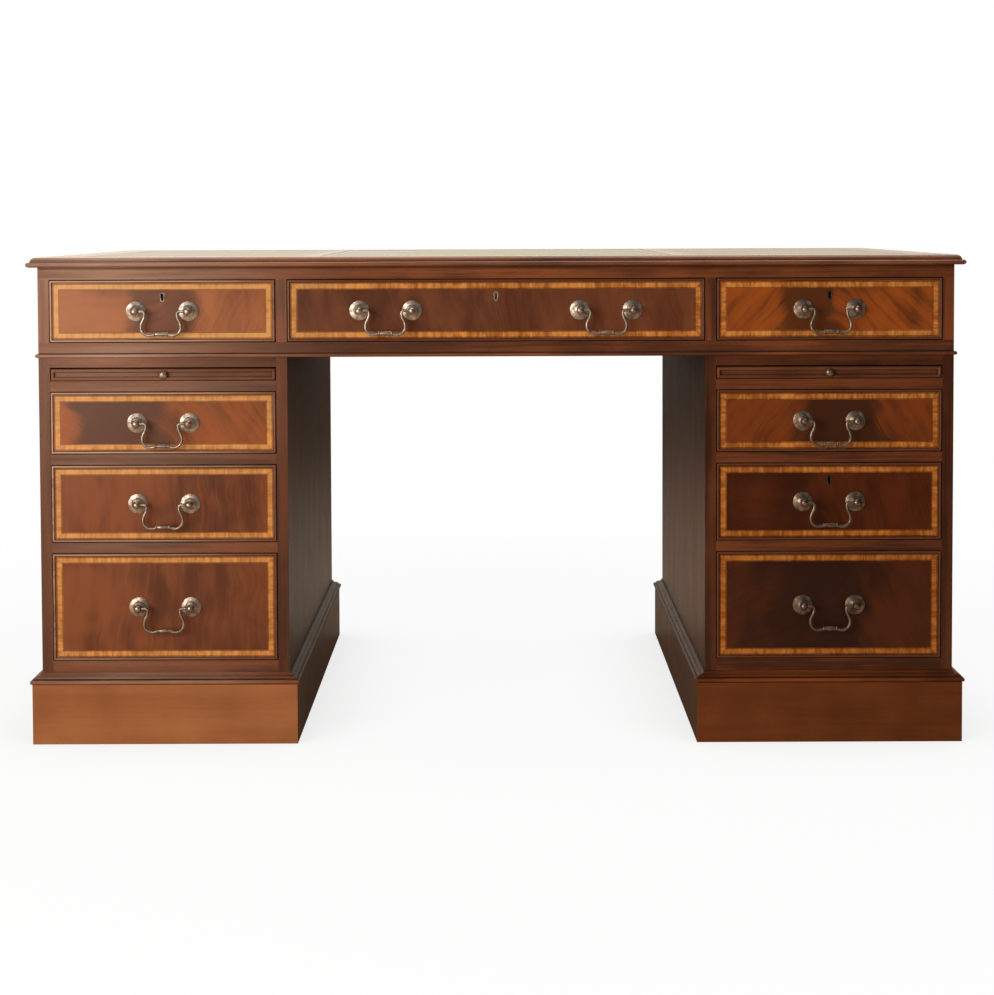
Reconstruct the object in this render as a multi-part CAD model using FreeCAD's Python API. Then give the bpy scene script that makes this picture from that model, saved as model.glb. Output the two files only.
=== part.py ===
import FreeCAD, Part
import math
import os

# Pedestal desk in three sections: a top section with three frieze drawers and a leather-lined writing
# top, and two pedestals, each with a pull-out slide and three drawers. Millimetres, +Z up, the front
# faces -Y, and the origin is on the floor under the middle of the top.

Vector = FreeCAD.Vector
ORIGIN = Vector(0, 0, 0)
X_AXIS = Vector(1, 0, 0)
Y_AXIS = Vector(0, 1, 0)
Z_AXIS = Vector(0, 0, 1)
SIDES = (-1, 1)
SIDE_NAMES = {-1: "left", 1: "right"}

# Plan of the carcases
PEDESTAL_WIDTH = 402.0
KNEEHOLE_WIDTH = 676.0
CARCASE_DEPTH = 875.0
BOARD = 18.0  # sides, ends and muntins
BACK_THICKNESS = 12.0

# Heights, stacked from the floor
PLINTH_HEIGHT = 97.0
PLINTH_MOULDING_HEIGHT = 18.0
BOTTOM_RAIL_HEIGHT = 19.0
LOWER_OPENING = 176.0
MIDDLE_OPENING = 127.0
UPPER_OPENING = 102.0
RAIL_HEIGHT = 17.0
SLIDE_OPENING = 22.0
PEDESTAL_TOP_THICKNESS = 16.0
FRIEZE_LOWER_RAIL = 24.0
FRIEZE_OPENING = 102.0
FRIEZE_UPPER_RAIL = 20.0
TOP_THICKNESS = 16.0

# Writing top
TOP_OVERHANG = 16.0
EDGING_WIDTH = 22.0  # solid lipping round the core board
TOP_BEAD_RADIUS = 3.75
TOP_BEAD_LIFT = 0.5  # flat left under the bead
TOP_QUIRK = 0.8  # upright between the bead and the ovolo
TOP_SETBACK = 2.0  # from the middle of the bead back to the foot of the ovolo
OVOLO_REACH = 9.5
LEATHER_THICKNESS = 1.2
LEATHER_BORDER = 80.0
LEATHER_STRIP = 30.0
CENTRE_LEATHER_WIDTH = 578.0

# Rails, runners and joints of the carcases
RAIL_DEPTH = 70.0
TENON_LENGTH = 8.0
TENON_SHOULDER = 4.0
RUNNER_WIDTH = 22.0
GUIDE_HEIGHT = 30.0
BOTTOM_BOARD = 14.0
STOP_WIDTH = 30.0
STOP_DEPTH = 12.0
STOP_HEIGHT = 5.0
STOP_CLEARANCE = 0.3
STOP_PLACE_SHARE = 0.25
PEG_RADIUS = 7.0
PEG_FIT = 0.05
PEG_LOWER_DEPTH = 10.0
PEG_UPPER_DEPTH = 12.0
PEG_SPACING = 240.0

# Mouldings of the frieze and the plinths
FRIEZE_BEAD_HEIGHT = 6.0
FRIEZE_BEAD_PROUD = 4.6
PLINTH_PROUD = 14.0
PLINTH_THICKNESS = 18.0
PLINTH_BLOCK = 40.0
PLINTH_BLOCK_DROP = 12.0  # the corner blocks stop this far above the floor
MOULDING_WIDTH = 17.3
MOULDING_TOP_FILLET = 1.4
MOULDING_BEAD_RADIUS = 3.8
MOULDING_BASE = 0.6  # flat left under the bead
MOULDING_QUIRK = 0.8
MOULDING_SETBACK = 1.0  # from the middle of the bead back to the foot of the ogee
OGEE_TOP_INSET = 2.0  # width of the fillet over the ogee
OGEE_SWELL = 0.9  # how far its two curves leave a straight line

# Drawers
DRAWER_GAP = 1.2  # round the front, in its opening
RUN_CLEARANCE = 0.3  # over the runners
DRAWER_REAR_SPACE = 150.0
FRONT_THICKNESS = 20.0
COCKBEAD_THICKNESS = 3.6
COCKBEAD_DEPTH = 8.0
COCKBEAD_PROUD = 2.4
BANDING_INSET = 5.0
BANDING_WIDTH = 10.8
BANDING_THICKNESS = 1.0
DRAWER_SIDE = 10.0
DRAWER_BACK = 10.0
SIDE_DROP = 4.0  # sides stop this far under the top of the opening
BACK_DROP = 5.0
DRAWER_BOTTOM = 6.0
GROOVE_RISE = 8.0
GROOVE_DEPTH = 4.0
DOVETAIL_LAP = 2.0
TAIL_PITCH = 34.0
TAIL_ROOT_SHARE = 0.29
TAIL_TIP_SHARE = 0.37

# Slides
SLIDE_GAP = 1.0
SLIDE_THICKNESS = 19.4
SLIDE_LENGTH = 480.0
SLIDE_BEAD_RADIUS = 3.0
SLIDE_FLAT_DEPTH = 4.5
KNOB_RADIUS = 7.2
KNOB_BASE_RADIUS = 3.5  # stands between the slide's beads
KNOB_BASE_THICKNESS = 1.6
KNOB_NECK_RADIUS = 2.6
KNOB_NECK_LENGTH = 4.0
KNOB_RIM = 1.4
KNOB_DOME = 4.0
KNOB_SHANK_RADIUS = 2.0
KNOB_SHANK_LENGTH = 14.0
KNOB_FIT = 0.05

# Bail handles
HANDLE_CENTRES = 85.0
CENTRE_HANDLE_SPACING = 356.0
PIVOT_STANDOFF = 17.0
ROSE_RADIUS = 16.0
ROSE_RIM = 1.2
ROSE_FLANGE_RISE = 3.0
ROSE_BOSS_RADIUS = 10.0
ROSE_BOSS_RISE = 3.6
FITTING_SEAT = 0.03  # film of wax between the drawer front and the roses and nuts
POST_SHANK_RADIUS = 2.4
POST_FIT = 0.08
POST_COLLAR_RADIUS = 5.0
POST_NECK_RADIUS = 3.4
POST_HEAD_RADIUS = 6.3
POST_HEAD_ANGLE = 38.0
POST_TAIL = 1.5  # shank left beyond the nut
NUT_RADIUS = 5.6
NUT_THICKNESS = 3.5
NUT_SIDES = 6
BAIL_WIRE_RADIUS = 2.5
BAIL_PIN_RADIUS = 1.8
BAIL_PIN_FIT = 0.06
BAIL_END_GAP = 0.8
BAIL_PIN_INSET = 1.5
BAIL_SHOULDER_RADIUS = 4.0
BAIL_NECK_HALF = 26.0
BAIL_HALF_WIDTH = 32.0
BAIL_CORNER_RADIUS = 13.0
BAIL_DROP = 38.6
BAIL_ARCH = 2.4  # rise of the bar between its corners
GRIP_HALF_LENGTH = 12.0
GRIP_RADIUS = 3.7
GRIP_NECK_RADIUS = 2.9
GRIP_BEAD_WIDTH = 3.0
GRIP_BEAD_RADIUS = 4.2

# Locks
LOCK_WIDTH = 60.0
LOCK_HEIGHT = 42.0
LOCK_DEPTH = 9.0
BOLT_WIDTH = 18.0
BOLT_THICKNESS = 4.0
BOLT_HEIGHT = 22.0
BOLT_CLEARANCE = 0.2
BOLT_THROW = 7.0
MORTISE_CLEARANCE = 1.0
KEYHOLE_DROP = 24.0
KEYHOLE_SPACING = 8.5  # from the round of the keyhole down to the foot of its slot
KEYHOLE_RADIUS = 2.7
KEYHOLE_SLOT_RADIUS = 1.4
ESCUTCHEON_WALL = 1.4
ESCUTCHEON_DEPTH = 3.0
ESCUTCHEON_PROUD = 0.4

OVERRUN = 1.0  # every cut passes the face that it opens by this much

# Places that follow from the sizes above
CARCASE_WIDTH = 2 * PEDESTAL_WIDTH + KNEEHOLE_WIDTH
HALF_WIDTH = CARCASE_WIDTH / 2
FRONT_FACE = -CARCASE_DEPTH / 2
BACK_FACE = CARCASE_DEPTH / 2
HALF_KNEEHOLE = KNEEHOLE_WIDTH / 2
PEDESTAL_CENTRE = HALF_KNEEHOLE + PEDESTAL_WIDTH / 2
PEDESTAL_OPENING = PEDESTAL_WIDTH - 2 * BOARD
LOWER_BASE = PLINTH_HEIGHT + PLINTH_MOULDING_HEIGHT + BOTTOM_RAIL_HEIGHT
MIDDLE_BASE = LOWER_BASE + LOWER_OPENING + RAIL_HEIGHT
UPPER_BASE = MIDDLE_BASE + MIDDLE_OPENING + RAIL_HEIGHT
SLIDE_BASE = UPPER_BASE + UPPER_OPENING + RAIL_HEIGHT
SLIDE_TOP = SLIDE_BASE + SLIDE_OPENING
FRIEZE_BASE = SLIDE_TOP + PEDESTAL_TOP_THICKNESS
FRIEZE_DRAWER_BASE = FRIEZE_BASE + FRIEZE_LOWER_RAIL
FRIEZE_DRAWER_TOP = FRIEZE_DRAWER_BASE + FRIEZE_OPENING
TOP_BASE = FRIEZE_DRAWER_TOP + FRIEZE_UPPER_RAIL
RAIL_BACK = FRONT_FACE + RAIL_DEPTH
PIVOT_Y = FRONT_FACE - PIVOT_STANDOFF
DRAWER_REAR = BACK_FACE - BOARD - DRAWER_REAR_SPACE


# Shared helpers
def span(one, other):
    """The two places in rising order."""
    return (min(one, other), max(one, other))


def block(xs, ys, zs):
    """Rectangular board between two places along each axis."""
    return Part.makeBox(xs[1] - xs[0], ys[1] - ys[0], zs[1] - zs[0], Vector(xs[0], ys[0], zs[0]))


def outline(start, steps, place):
    """Closed wire of straight steps (two numbers) and three-point arcs (four numbers)."""
    edges = []
    here = start
    for step in list(steps) + [start]:
        there = tuple(step[-2:])
        if len(step) > 2:
            edges.append(Part.Arc(place(*here), place(*step[:2]), place(*there)).toShape())
        elif there != here:
            edges.append(Part.LineSegment(place(*here), place(*there)).toShape())
        here = there
    return Part.Wire(edges)


def turned(start, steps, centre, axis, outward):
    """Solid of revolution about an axis through centre, from a profile of (radius, distance along it)."""
    def place(radius, along):
        return centre + outward * radius + axis * along
    return Part.Face(outline(start, steps, place)).revolve(centre, axis, 360)


def cap_height(edge, rise, radius):
    """Height of a spherical cap over its edge circle, at a radius inside it."""
    ball = (edge ** 2 + rise ** 2) / (2 * rise)
    return rise - ball + math.sqrt(ball ** 2 - radius ** 2)


def cap_arc(edge, rise, base, inner):
    """Arc step of a turned cap from its edge, at a height base, in to a smaller radius."""
    middle = (edge + inner) / 2
    return (middle, base + cap_height(edge, rise, middle), inner, base + cap_height(edge, rise, inner))


def mitred_lengths(start, steps, half_x, half_y, reach):
    """Four lengths of a moulding round a rectangle, mitred at its corners.

    The profile is (distance out from the rectangle, height), and reach is its greatest distance out."""
    lengths = []
    for quarter in range(4):
        along, across = (half_y, half_x) if quarter % 2 else (half_x, half_y)

        def place(out, up):
            return Vector(-along - reach, -across - out, up)
        bar = Part.Face(outline(start, steps, place)).extrude(X_AXIS * (2 * (along + reach)))
        low = bar.BoundBox.ZMin - OVERRUN
        corners = [Vector(-along - reach, -across - reach, low),
                   Vector(along + reach, -across - reach, low),
                   Vector(along - OVERRUN, -across + OVERRUN, low),
                   Vector(-along + OVERRUN, -across + OVERRUN, low)]
        wedge = Part.Face(Part.makePolygon(corners + corners[:1]))
        wedge = wedge.extrude(Z_AXIS * (bar.BoundBox.ZLength + 2 * OVERRUN))
        length = bar.common(wedge).Solids[0]
        length.rotate(ORIGIN, Z_AXIS, 90 * quarter)
        lengths.append(length)
    return lengths


def stood_up(pieces, centre_x, centre_z):
    """Pieces made flat round the origin, turned to lie on the front face about a centre."""
    for piece in pieces:
        piece.rotate(ORIGIN, X_AXIS, 90)
        piece.translate(Vector(centre_x, FRONT_FACE, centre_z))
    return pieces


def cut_all(shape, tools):
    """Shape less every tool, as one solid."""
    return shape.cut(Part.makeCompound(tools)).Solids[0] if tools else shape


def tenoned_rail(xs, ys, zs):
    """Rail with a stub tenon at each end, and the tenons alone, which cut their mortises."""
    ys_in = (ys[0] + TENON_SHOULDER, ys[1] - TENON_SHOULDER)
    zs_in = (zs[0] + TENON_SHOULDER, zs[1] - TENON_SHOULDER)
    tenons = [block((xs[0] - TENON_LENGTH, xs[0]), ys_in, zs_in),
              block((xs[1], xs[1] + TENON_LENGTH), ys_in, zs_in)]
    return block(xs, ys, zs).fuse(tenons).removeSplitter(), tenons


# Writing top
def top_edging():
    """Moulded lipping: an ovolo over a quirk and a half-round bead."""
    nose = EDGING_WIDTH - TOP_BEAD_RADIUS
    brow = nose - TOP_SETBACK
    bead_mid = TOP_BEAD_LIFT + TOP_BEAD_RADIUS
    bead_top = bead_mid + TOP_BEAD_RADIUS
    ovolo_base = bead_top + TOP_QUIRK
    ovolo_drop = TOP_THICKNESS - ovolo_base
    eighth = math.cos(math.radians(45))
    ovolo_mid = (brow - OVOLO_REACH * (1 - eighth), ovolo_base + ovolo_drop * eighth)
    steps = [(nose, 0), (nose, TOP_BEAD_LIFT),
             (EDGING_WIDTH, bead_mid, nose, bead_top), (brow, bead_top), (brow, ovolo_base),
             (*ovolo_mid, brow - OVOLO_REACH, TOP_THICKNESS), (0, TOP_THICKNESS)]
    lengths = mitred_lengths((0, 0), steps, *core_halves(), EDGING_WIDTH)
    for length in lengths:
        length.translate(Z_AXIS * TOP_BASE)
    return lengths


def core_halves():
    """Half width and half depth of the core board inside the lipping."""
    inset = EDGING_WIDTH - TOP_OVERHANG
    return HALF_WIDTH - inset, BACK_FACE - inset


def leather_panels():
    """Centre panel and two side panels, flush with the top."""
    zs = (TOP_BASE + TOP_THICKNESS - LEATHER_THICKNESS, TOP_BASE + TOP_THICKNESS)
    half_depth = BACK_FACE + TOP_OVERHANG - LEATHER_BORDER
    half_centre = CENTRE_LEATHER_WIDTH / 2
    outer = HALF_WIDTH + TOP_OVERHANG - LEATHER_BORDER
    ys = (-half_depth, half_depth)
    panels = [block((-half_centre, half_centre), ys, zs)]
    for side in SIDES:
        panels.append(block(span(side * (half_centre + LEATHER_STRIP), side * outer), ys, zs))
    return panels


def desk_top(panels):
    """Core board, recessed for the leather."""
    half_x, half_y = core_halves()
    core = block((-half_x, half_x), (-half_y, half_y), (TOP_BASE, TOP_BASE + TOP_THICKNESS))
    return [cut_all(core, panels)]


# Pegs that locate the top section
def pegs():
    """Pegs in the tops of the pedestals, and the holes that they need above and below."""
    shapes = []
    holes = []
    rows = (FRONT_FACE + RAIL_DEPTH / 2, BACK_FACE - BOARD - RAIL_DEPTH / 2)
    for side in SIDES:
        for offset in (-PEG_SPACING / 2, PEG_SPACING / 2):
            for y in rows:
                foot = Vector(side * PEDESTAL_CENTRE + offset, y, FRIEZE_BASE - PEG_LOWER_DEPTH)
                length = PEG_LOWER_DEPTH + PEG_UPPER_DEPTH
                shapes.append(Part.makeCylinder(PEG_RADIUS, length, foot))
                holes.append(Part.makeCylinder(PEG_RADIUS + PEG_FIT, length, foot))
    return shapes, holes


# Frieze
def bolt_mortise(centre_x, rail_base):
    """Pocket in the underside of a rail for a lock bolt."""
    half = BOLT_WIDTH / 2 + MORTISE_CLEARANCE
    mid = FRONT_FACE + FRONT_THICKNESS - LOCK_DEPTH / 2
    half_y = BOLT_THICKNESS / 2 + MORTISE_CLEARANCE
    return block((centre_x - half, centre_x + half), (mid - half_y, mid + half_y),
                 (rail_base - OVERRUN, rail_base + BOLT_THROW + MORTISE_CLEARANCE))


def frieze_bead():
    """Round-nosed bead round the lower edge of the frieze."""
    half = FRIEZE_BEAD_HEIGHT / 2
    flat = FRIEZE_BEAD_PROUD - half
    steps = [(flat, 0), (FRIEZE_BEAD_PROUD, half, flat, FRIEZE_BEAD_HEIGHT), (0, FRIEZE_BEAD_HEIGHT)]
    lengths = mitred_lengths((0, 0), steps, HALF_WIDTH, BACK_FACE, FRIEZE_BEAD_PROUD)
    for length in lengths:
        length.translate(Z_AXIS * FRIEZE_BASE)
    return lengths


def frieze_frame(peg_holes):
    """Rails, muntins, ends and back of the top section, with the bead."""
    inner = HALF_WIDTH - BOARD
    inside_back = BACK_FACE - BOARD
    front = (FRONT_FACE, RAIL_BACK)
    rear = (inside_back - RAIL_DEPTH, inside_back)
    low = (FRIEZE_BASE, FRIEZE_DRAWER_BASE)
    rails = []
    tenons = []
    for ys, zs in ((front, low), (front, (FRIEZE_DRAWER_TOP, TOP_BASE)), (rear, low)):
        rail, ends = tenoned_rail((-inner, inner), ys, zs)
        rails.append(rail)
        tenons += ends
    centres = (-PEDESTAL_CENTRE, 0, PEDESTAL_CENTRE)
    rails[0] = cut_all(rails[0], peg_holes)
    rails[1] = cut_all(rails[1], [bolt_mortise(x, FRIEZE_DRAWER_TOP) for x in centres])
    rails[2] = cut_all(rails[2], peg_holes)
    pieces = rails + [block((-inner, inner), (inside_back, BACK_FACE), (FRIEZE_BASE, TOP_BASE))]
    for side in SIDES:
        end = block(span(side * inner, side * HALF_WIDTH), (FRONT_FACE, BACK_FACE), (FRIEZE_BASE, TOP_BASE))
        pieces.append(cut_all(end, tenons))
        muntin = span(side * HALF_KNEEHOLE, side * (HALF_KNEEHOLE + BOARD))
        pieces.append(block(muntin, front, (FRIEZE_DRAWER_BASE, FRIEZE_DRAWER_TOP)))
    return pieces + frieze_bead()


def stop_pair(centre_x, width, base):
    """Two blocks behind a drawer front."""
    ys = (FRONT_FACE + FRONT_THICKNESS + STOP_CLEARANCE,
          FRONT_FACE + FRONT_THICKNESS + STOP_CLEARANCE + STOP_DEPTH)
    stops = []
    for side in SIDES:
        mid = centre_x + side * width * STOP_PLACE_SHARE
        stops.append(block((mid - STOP_WIDTH / 2, mid + STOP_WIDTH / 2), ys, (base, base + STOP_HEIGHT)))
    return stops


def frieze_runners():
    """Runners, guides and kickers of the frieze drawers, and their stops."""
    inner = HALF_WIDTH - BOARD
    rear = BACK_FACE - BOARD
    pieces = []
    for side in SIDES:
        at_end = span(side * (inner - RUNNER_WIDTH), side * inner)
        at_muntin = span(side * (HALF_KNEEHOLE - RUNNER_WIDTH),
                         side * (HALF_KNEEHOLE + BOARD + RUNNER_WIDTH))
        for xs in (at_end, at_muntin):
            pieces.append(block(xs, (RAIL_BACK, rear - RAIL_DEPTH), (FRIEZE_BASE, FRIEZE_DRAWER_BASE)))
            pieces.append(block(xs, (RAIL_BACK, rear), (FRIEZE_DRAWER_TOP, TOP_BASE)))
        guide = span(side * HALF_KNEEHOLE, side * (HALF_KNEEHOLE + BOARD))
        pieces.append(block(guide, (RAIL_BACK, rear),
                            (FRIEZE_DRAWER_BASE, FRIEZE_DRAWER_BASE + GUIDE_HEIGHT)))
        pieces += stop_pair(side * PEDESTAL_CENTRE, PEDESTAL_OPENING, FRIEZE_DRAWER_BASE)
    return pieces + stop_pair(0, KNEEHOLE_WIDTH, FRIEZE_DRAWER_BASE)


# Pedestals
def pedestal(side, peg_holes):
    """Carcase boards, rails, and runners with stops, of one pedestal."""
    centre = side * PEDESTAL_CENTRE
    inner = PEDESTAL_OPENING / 2
    xs = (centre - inner, centre + inner)
    inside_back = BACK_FACE - BACK_THICKNESS
    carcase = []
    rails = []
    runners = []
    tenons = []
    for base in (MIDDLE_BASE, UPPER_BASE, SLIDE_BASE):
        zs = (base - RAIL_HEIGHT, base)
        rail, ends = tenoned_rail(xs, (FRONT_FACE, RAIL_BACK), zs)
        if side > 0 and base == UPPER_BASE:
            rail = cut_all(rail, [bolt_mortise(centre, zs[0])])
        rails.append(rail)
        tenons += ends
        for edge in SIDES:
            along = span(centre + edge * (inner - RUNNER_WIDTH), centre + edge * inner)
            runners.append(block(along, (RAIL_BACK, inside_back), zs))
    rail, ends = tenoned_rail(xs, (FRONT_FACE, RAIL_BACK), (PLINTH_HEIGHT, LOWER_BASE))
    rails.append(rail)
    tenons += ends
    for edge in SIDES:
        board = span(centre + edge * inner, centre + edge * (inner + BOARD))
        panel = block(board, (FRONT_FACE, BACK_FACE), (PLINTH_HEIGHT, FRIEZE_BASE))
        carcase.append(cut_all(panel, tenons))
    carcase.append(block(xs, (inside_back, BACK_FACE), (PLINTH_HEIGHT, FRIEZE_BASE)))
    cover = block(xs, (FRONT_FACE, inside_back), (SLIDE_TOP, FRIEZE_BASE))
    carcase.append(cut_all(cover, peg_holes))
    carcase.append(block(xs, (RAIL_BACK, inside_back), (LOWER_BASE - BOTTOM_BOARD, LOWER_BASE)))
    for base in (LOWER_BASE, MIDDLE_BASE, UPPER_BASE):
        runners += stop_pair(centre, PEDESTAL_OPENING, base)
    return carcase, rails, runners


def plinth(side):
    """Four mitred boards and four corner blocks, under one pedestal."""
    half_x = PEDESTAL_WIDTH / 2 + PLINTH_PROUD - PLINTH_THICKNESS
    half_y = BACK_FACE + PLINTH_PROUD - PLINTH_THICKNESS
    steps = [(PLINTH_THICKNESS, 0), (PLINTH_THICKNESS, PLINTH_HEIGHT), (0, PLINTH_HEIGHT)]
    pieces = mitred_lengths((0, 0), steps, half_x, half_y, PLINTH_THICKNESS)
    for edge in SIDES:
        for end in SIDES:
            corner = Vector(edge * half_x, end * half_y, PLINTH_BLOCK_DROP)
            points = [corner, corner - X_AXIS * (edge * PLINTH_BLOCK),
                      corner - Y_AXIS * (end * PLINTH_BLOCK)]
            face = Part.Face(Part.makePolygon(points + points[:1]))
            pieces.append(face.extrude(Z_AXIS * (PLINTH_HEIGHT - PLINTH_BLOCK_DROP)))
    for piece in pieces:
        piece.translate(X_AXIS * (side * PEDESTAL_CENTRE))
    return pieces


def plinth_mouldings():
    """Ogee over a quirk and a bead, round the foot of each pedestal, seated on the plinth."""
    bead_out = MOULDING_WIDTH - MOULDING_BEAD_RADIUS
    bead_mid = MOULDING_BASE + MOULDING_BEAD_RADIUS
    bead_top = bead_mid + MOULDING_BEAD_RADIUS
    foot = (bead_out - MOULDING_SETBACK, bead_top + MOULDING_QUIRK)
    head = (OGEE_TOP_INSET, PLINTH_MOULDING_HEIGHT - MOULDING_TOP_FILLET)
    run = foot[0] - head[0]
    rise = head[1] - foot[1]
    swell = OGEE_SWELL / math.hypot(run, rise)

    def ogee(share, side):
        return (foot[0] - share * run + side * swell * rise, foot[1] + share * rise + side * swell * run)
    steps = [(bead_out, 0), (bead_out, MOULDING_BASE),
             (MOULDING_WIDTH, bead_mid, bead_out, bead_top), (foot[0], bead_top), foot,
             (*ogee(0.25, 1), *ogee(0.5, 0)), (*ogee(0.75, -1), *head),
             (OGEE_TOP_INSET, PLINTH_MOULDING_HEIGHT), (0, PLINTH_MOULDING_HEIGHT)]
    pieces = []
    for side in SIDES:
        lengths = mitred_lengths((0, 0), steps, PEDESTAL_WIDTH / 2, BACK_FACE, MOULDING_WIDTH)
        for length in lengths:
            length.translate(Vector(side * PEDESTAL_CENTRE, 0, PLINTH_HEIGHT))
        pieces += lengths
    return pieces


# Slides
def slide(side):
    """Pull-out board with a bead mitred round its front edge, and its turned knob."""
    half = PEDESTAL_OPENING / 2 - SLIDE_GAP
    centre = side * PEDESTAL_CENTRE
    base = SLIDE_BASE + RUN_CLEARANCE
    seat = Vector(centre, FRONT_FACE + SLIDE_FLAT_DEPTH, base + SLIDE_THICKNESS / 2)
    board = block((centre - half, centre + half), (seat.y, FRONT_FACE + SLIDE_LENGTH),
                  (base, base + SLIDE_THICKNESS))
    bead = SLIDE_BEAD_RADIUS
    steps = [(2 * bead, -SLIDE_FLAT_DEPTH), (2 * bead, -bead), (bead, 0, 0, -bead)]
    beads = mitred_lengths((0, -SLIDE_FLAT_DEPTH), steps, half - 2 * bead,
                           SLIDE_THICKNESS / 2 - 2 * bead, 2 * bead)
    stood_up(beads, centre, seat.z)
    hole = Part.makeCylinder(KNOB_SHANK_RADIUS + KNOB_FIT, KNOB_SHANK_LENGTH, seat, Y_AXIS)
    return [board.cut(hole).Solids[0]] + beads, [knob(seat)]


def knob(seat):
    """Small turned knob with a flange, a waisted neck and a domed head."""
    neck_top = KNOB_BASE_THICKNESS + KNOB_NECK_LENGTH
    waist = (KNOB_NECK_RADIUS, KNOB_BASE_THICKNESS + KNOB_NECK_LENGTH / 2)
    rim_top = neck_top + KNOB_RIM
    steps = [(KNOB_SHANK_RADIUS, -KNOB_SHANK_LENGTH), (KNOB_SHANK_RADIUS, 0), (KNOB_BASE_RADIUS, 0),
             (KNOB_BASE_RADIUS, KNOB_BASE_THICKNESS), (*waist, KNOB_BASE_RADIUS, neck_top),
             (KNOB_RADIUS, neck_top), (KNOB_RADIUS, rim_top),
             cap_arc(KNOB_RADIUS, KNOB_DOME, rim_top, 0)]
    return turned((0, -KNOB_SHANK_LENGTH), steps, seat, Y_AXIS * -1, X_AXIS)


# Handles
def rose_arcs():
    """Profile of a rose over its rim: a low domed flange, then a domed boss up to the post's seat."""
    flange = cap_arc(ROSE_RADIUS, ROSE_FLANGE_RISE, ROSE_RIM, ROSE_BOSS_RADIUS)
    boss = cap_arc(ROSE_BOSS_RADIUS, ROSE_BOSS_RISE, flange[-1], POST_COLLAR_RADIUS)
    return [flange, boss]


def rose(centre):
    """Round domed backplate, bored for the post."""
    arcs = rose_arcs()
    bore = POST_SHANK_RADIUS + POST_FIT
    steps = [(ROSE_RADIUS, FITTING_SEAT), (ROSE_RADIUS, ROSE_RIM)] + arcs + [(bore, arcs[-1][-1])]
    return turned((bore, FITTING_SEAT), steps, centre, Y_AXIS * -1, X_AXIS)


def post(centre):
    """Ball-headed post through the drawer front, bored across for the pin of the bail."""
    angle = math.radians(POST_HEAD_ANGLE)
    tail = -FRONT_THICKNESS - NUT_THICKNESS - POST_TAIL
    seat = rose_arcs()[-1][-1]
    joint = (POST_HEAD_RADIUS * math.sin(angle), PIVOT_STANDOFF - POST_HEAD_RADIUS * math.cos(angle))
    neck_mid = (POST_NECK_RADIUS, (seat + joint[1]) / 2)
    steps = [(POST_SHANK_RADIUS, tail), (POST_SHANK_RADIUS, seat), (POST_COLLAR_RADIUS, seat),
             (*neck_mid, *joint), (POST_HEAD_RADIUS, PIVOT_STANDOFF, 0, PIVOT_STANDOFF + POST_HEAD_RADIUS)]
    shape = turned((0, tail), steps, centre, Y_AXIS * -1, X_AXIS)
    length = 2 * (POST_HEAD_RADIUS + OVERRUN)
    start = centre + Vector(-length / 2, -PIVOT_STANDOFF, 0)
    return shape.cut(Part.makeCylinder(BAIL_PIN_RADIUS + BAIL_PIN_FIT, length, start, X_AXIS)).Solids[0]


def nut(centre):
    """Hexagon nut on the shank, inside the drawer front."""
    face = FRONT_THICKNESS + FITTING_SEAT
    corners = []
    for corner in range(NUT_SIDES + 1):
        angle = 2 * math.pi * corner / NUT_SIDES
        corners.append(centre + Vector(NUT_RADIUS * math.cos(angle), face, NUT_RADIUS * math.sin(angle)))
    blank = Part.Face(Part.makePolygon(corners)).extrude(Y_AXIS * NUT_THICKNESS)
    start = centre + Y_AXIS * (face - OVERRUN)
    bore = Part.makeCylinder(POST_SHANK_RADIUS + POST_FIT, NUT_THICKNESS + 2 * OVERRUN, start, Y_AXIS)
    return blank.cut(bore).Solids[0]


def bail_half_path(side, place):
    """Centre line of half a bail: straight from the post, round the shoulder, out in a swan neck, round
    the corner and along the arched bar to the middle."""
    def arc(centre_x, centre_z, radius, first, last):
        points = []
        for degrees in (first, (first + last) / 2, last):
            angle = math.radians(degrees)
            points.append(place(side * (centre_x + radius * math.cos(angle)),
                                centre_z + radius * math.sin(angle)))
        return Part.Arc(*points).toShape()
    rise = BAIL_DROP - BAIL_CORNER_RADIUS - BAIL_SHOULDER_RADIUS
    spread = BAIL_HALF_WIDTH - BAIL_NECK_HALF
    turn = 2 * math.degrees(math.atan2(spread, rise))
    sway = rise / (2 * math.sin(math.radians(turn)))
    elbow = BAIL_NECK_HALF + BAIL_SHOULDER_RADIUS
    corner = BAIL_HALF_WIDTH - BAIL_CORNER_RADIUS
    low = BAIL_CORNER_RADIUS - BAIL_DROP
    lift = 2 * math.degrees(math.atan2(BAIL_ARCH, corner))
    bow = corner / math.sin(math.radians(lift)) - BAIL_CORNER_RADIUS
    end = HANDLE_CENTRES / 2 - POST_HEAD_RADIUS - BAIL_END_GAP
    return [Part.LineSegment(place(side * end, 0), place(side * elbow, 0)).toShape(),
            arc(elbow, -BAIL_SHOULDER_RADIUS, BAIL_SHOULDER_RADIUS, 90, 180),
            arc(BAIL_NECK_HALF + sway, -BAIL_SHOULDER_RADIUS, sway, 180, 180 + turn),
            arc(BAIL_HALF_WIDTH - sway, low, sway, turn, 0),
            arc(corner, low, BAIL_CORNER_RADIUS, 0, -90 - lift),
            arc(0, BAIL_ARCH - BAIL_DROP - bow, bow, 90 - lift, 90)]


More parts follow.
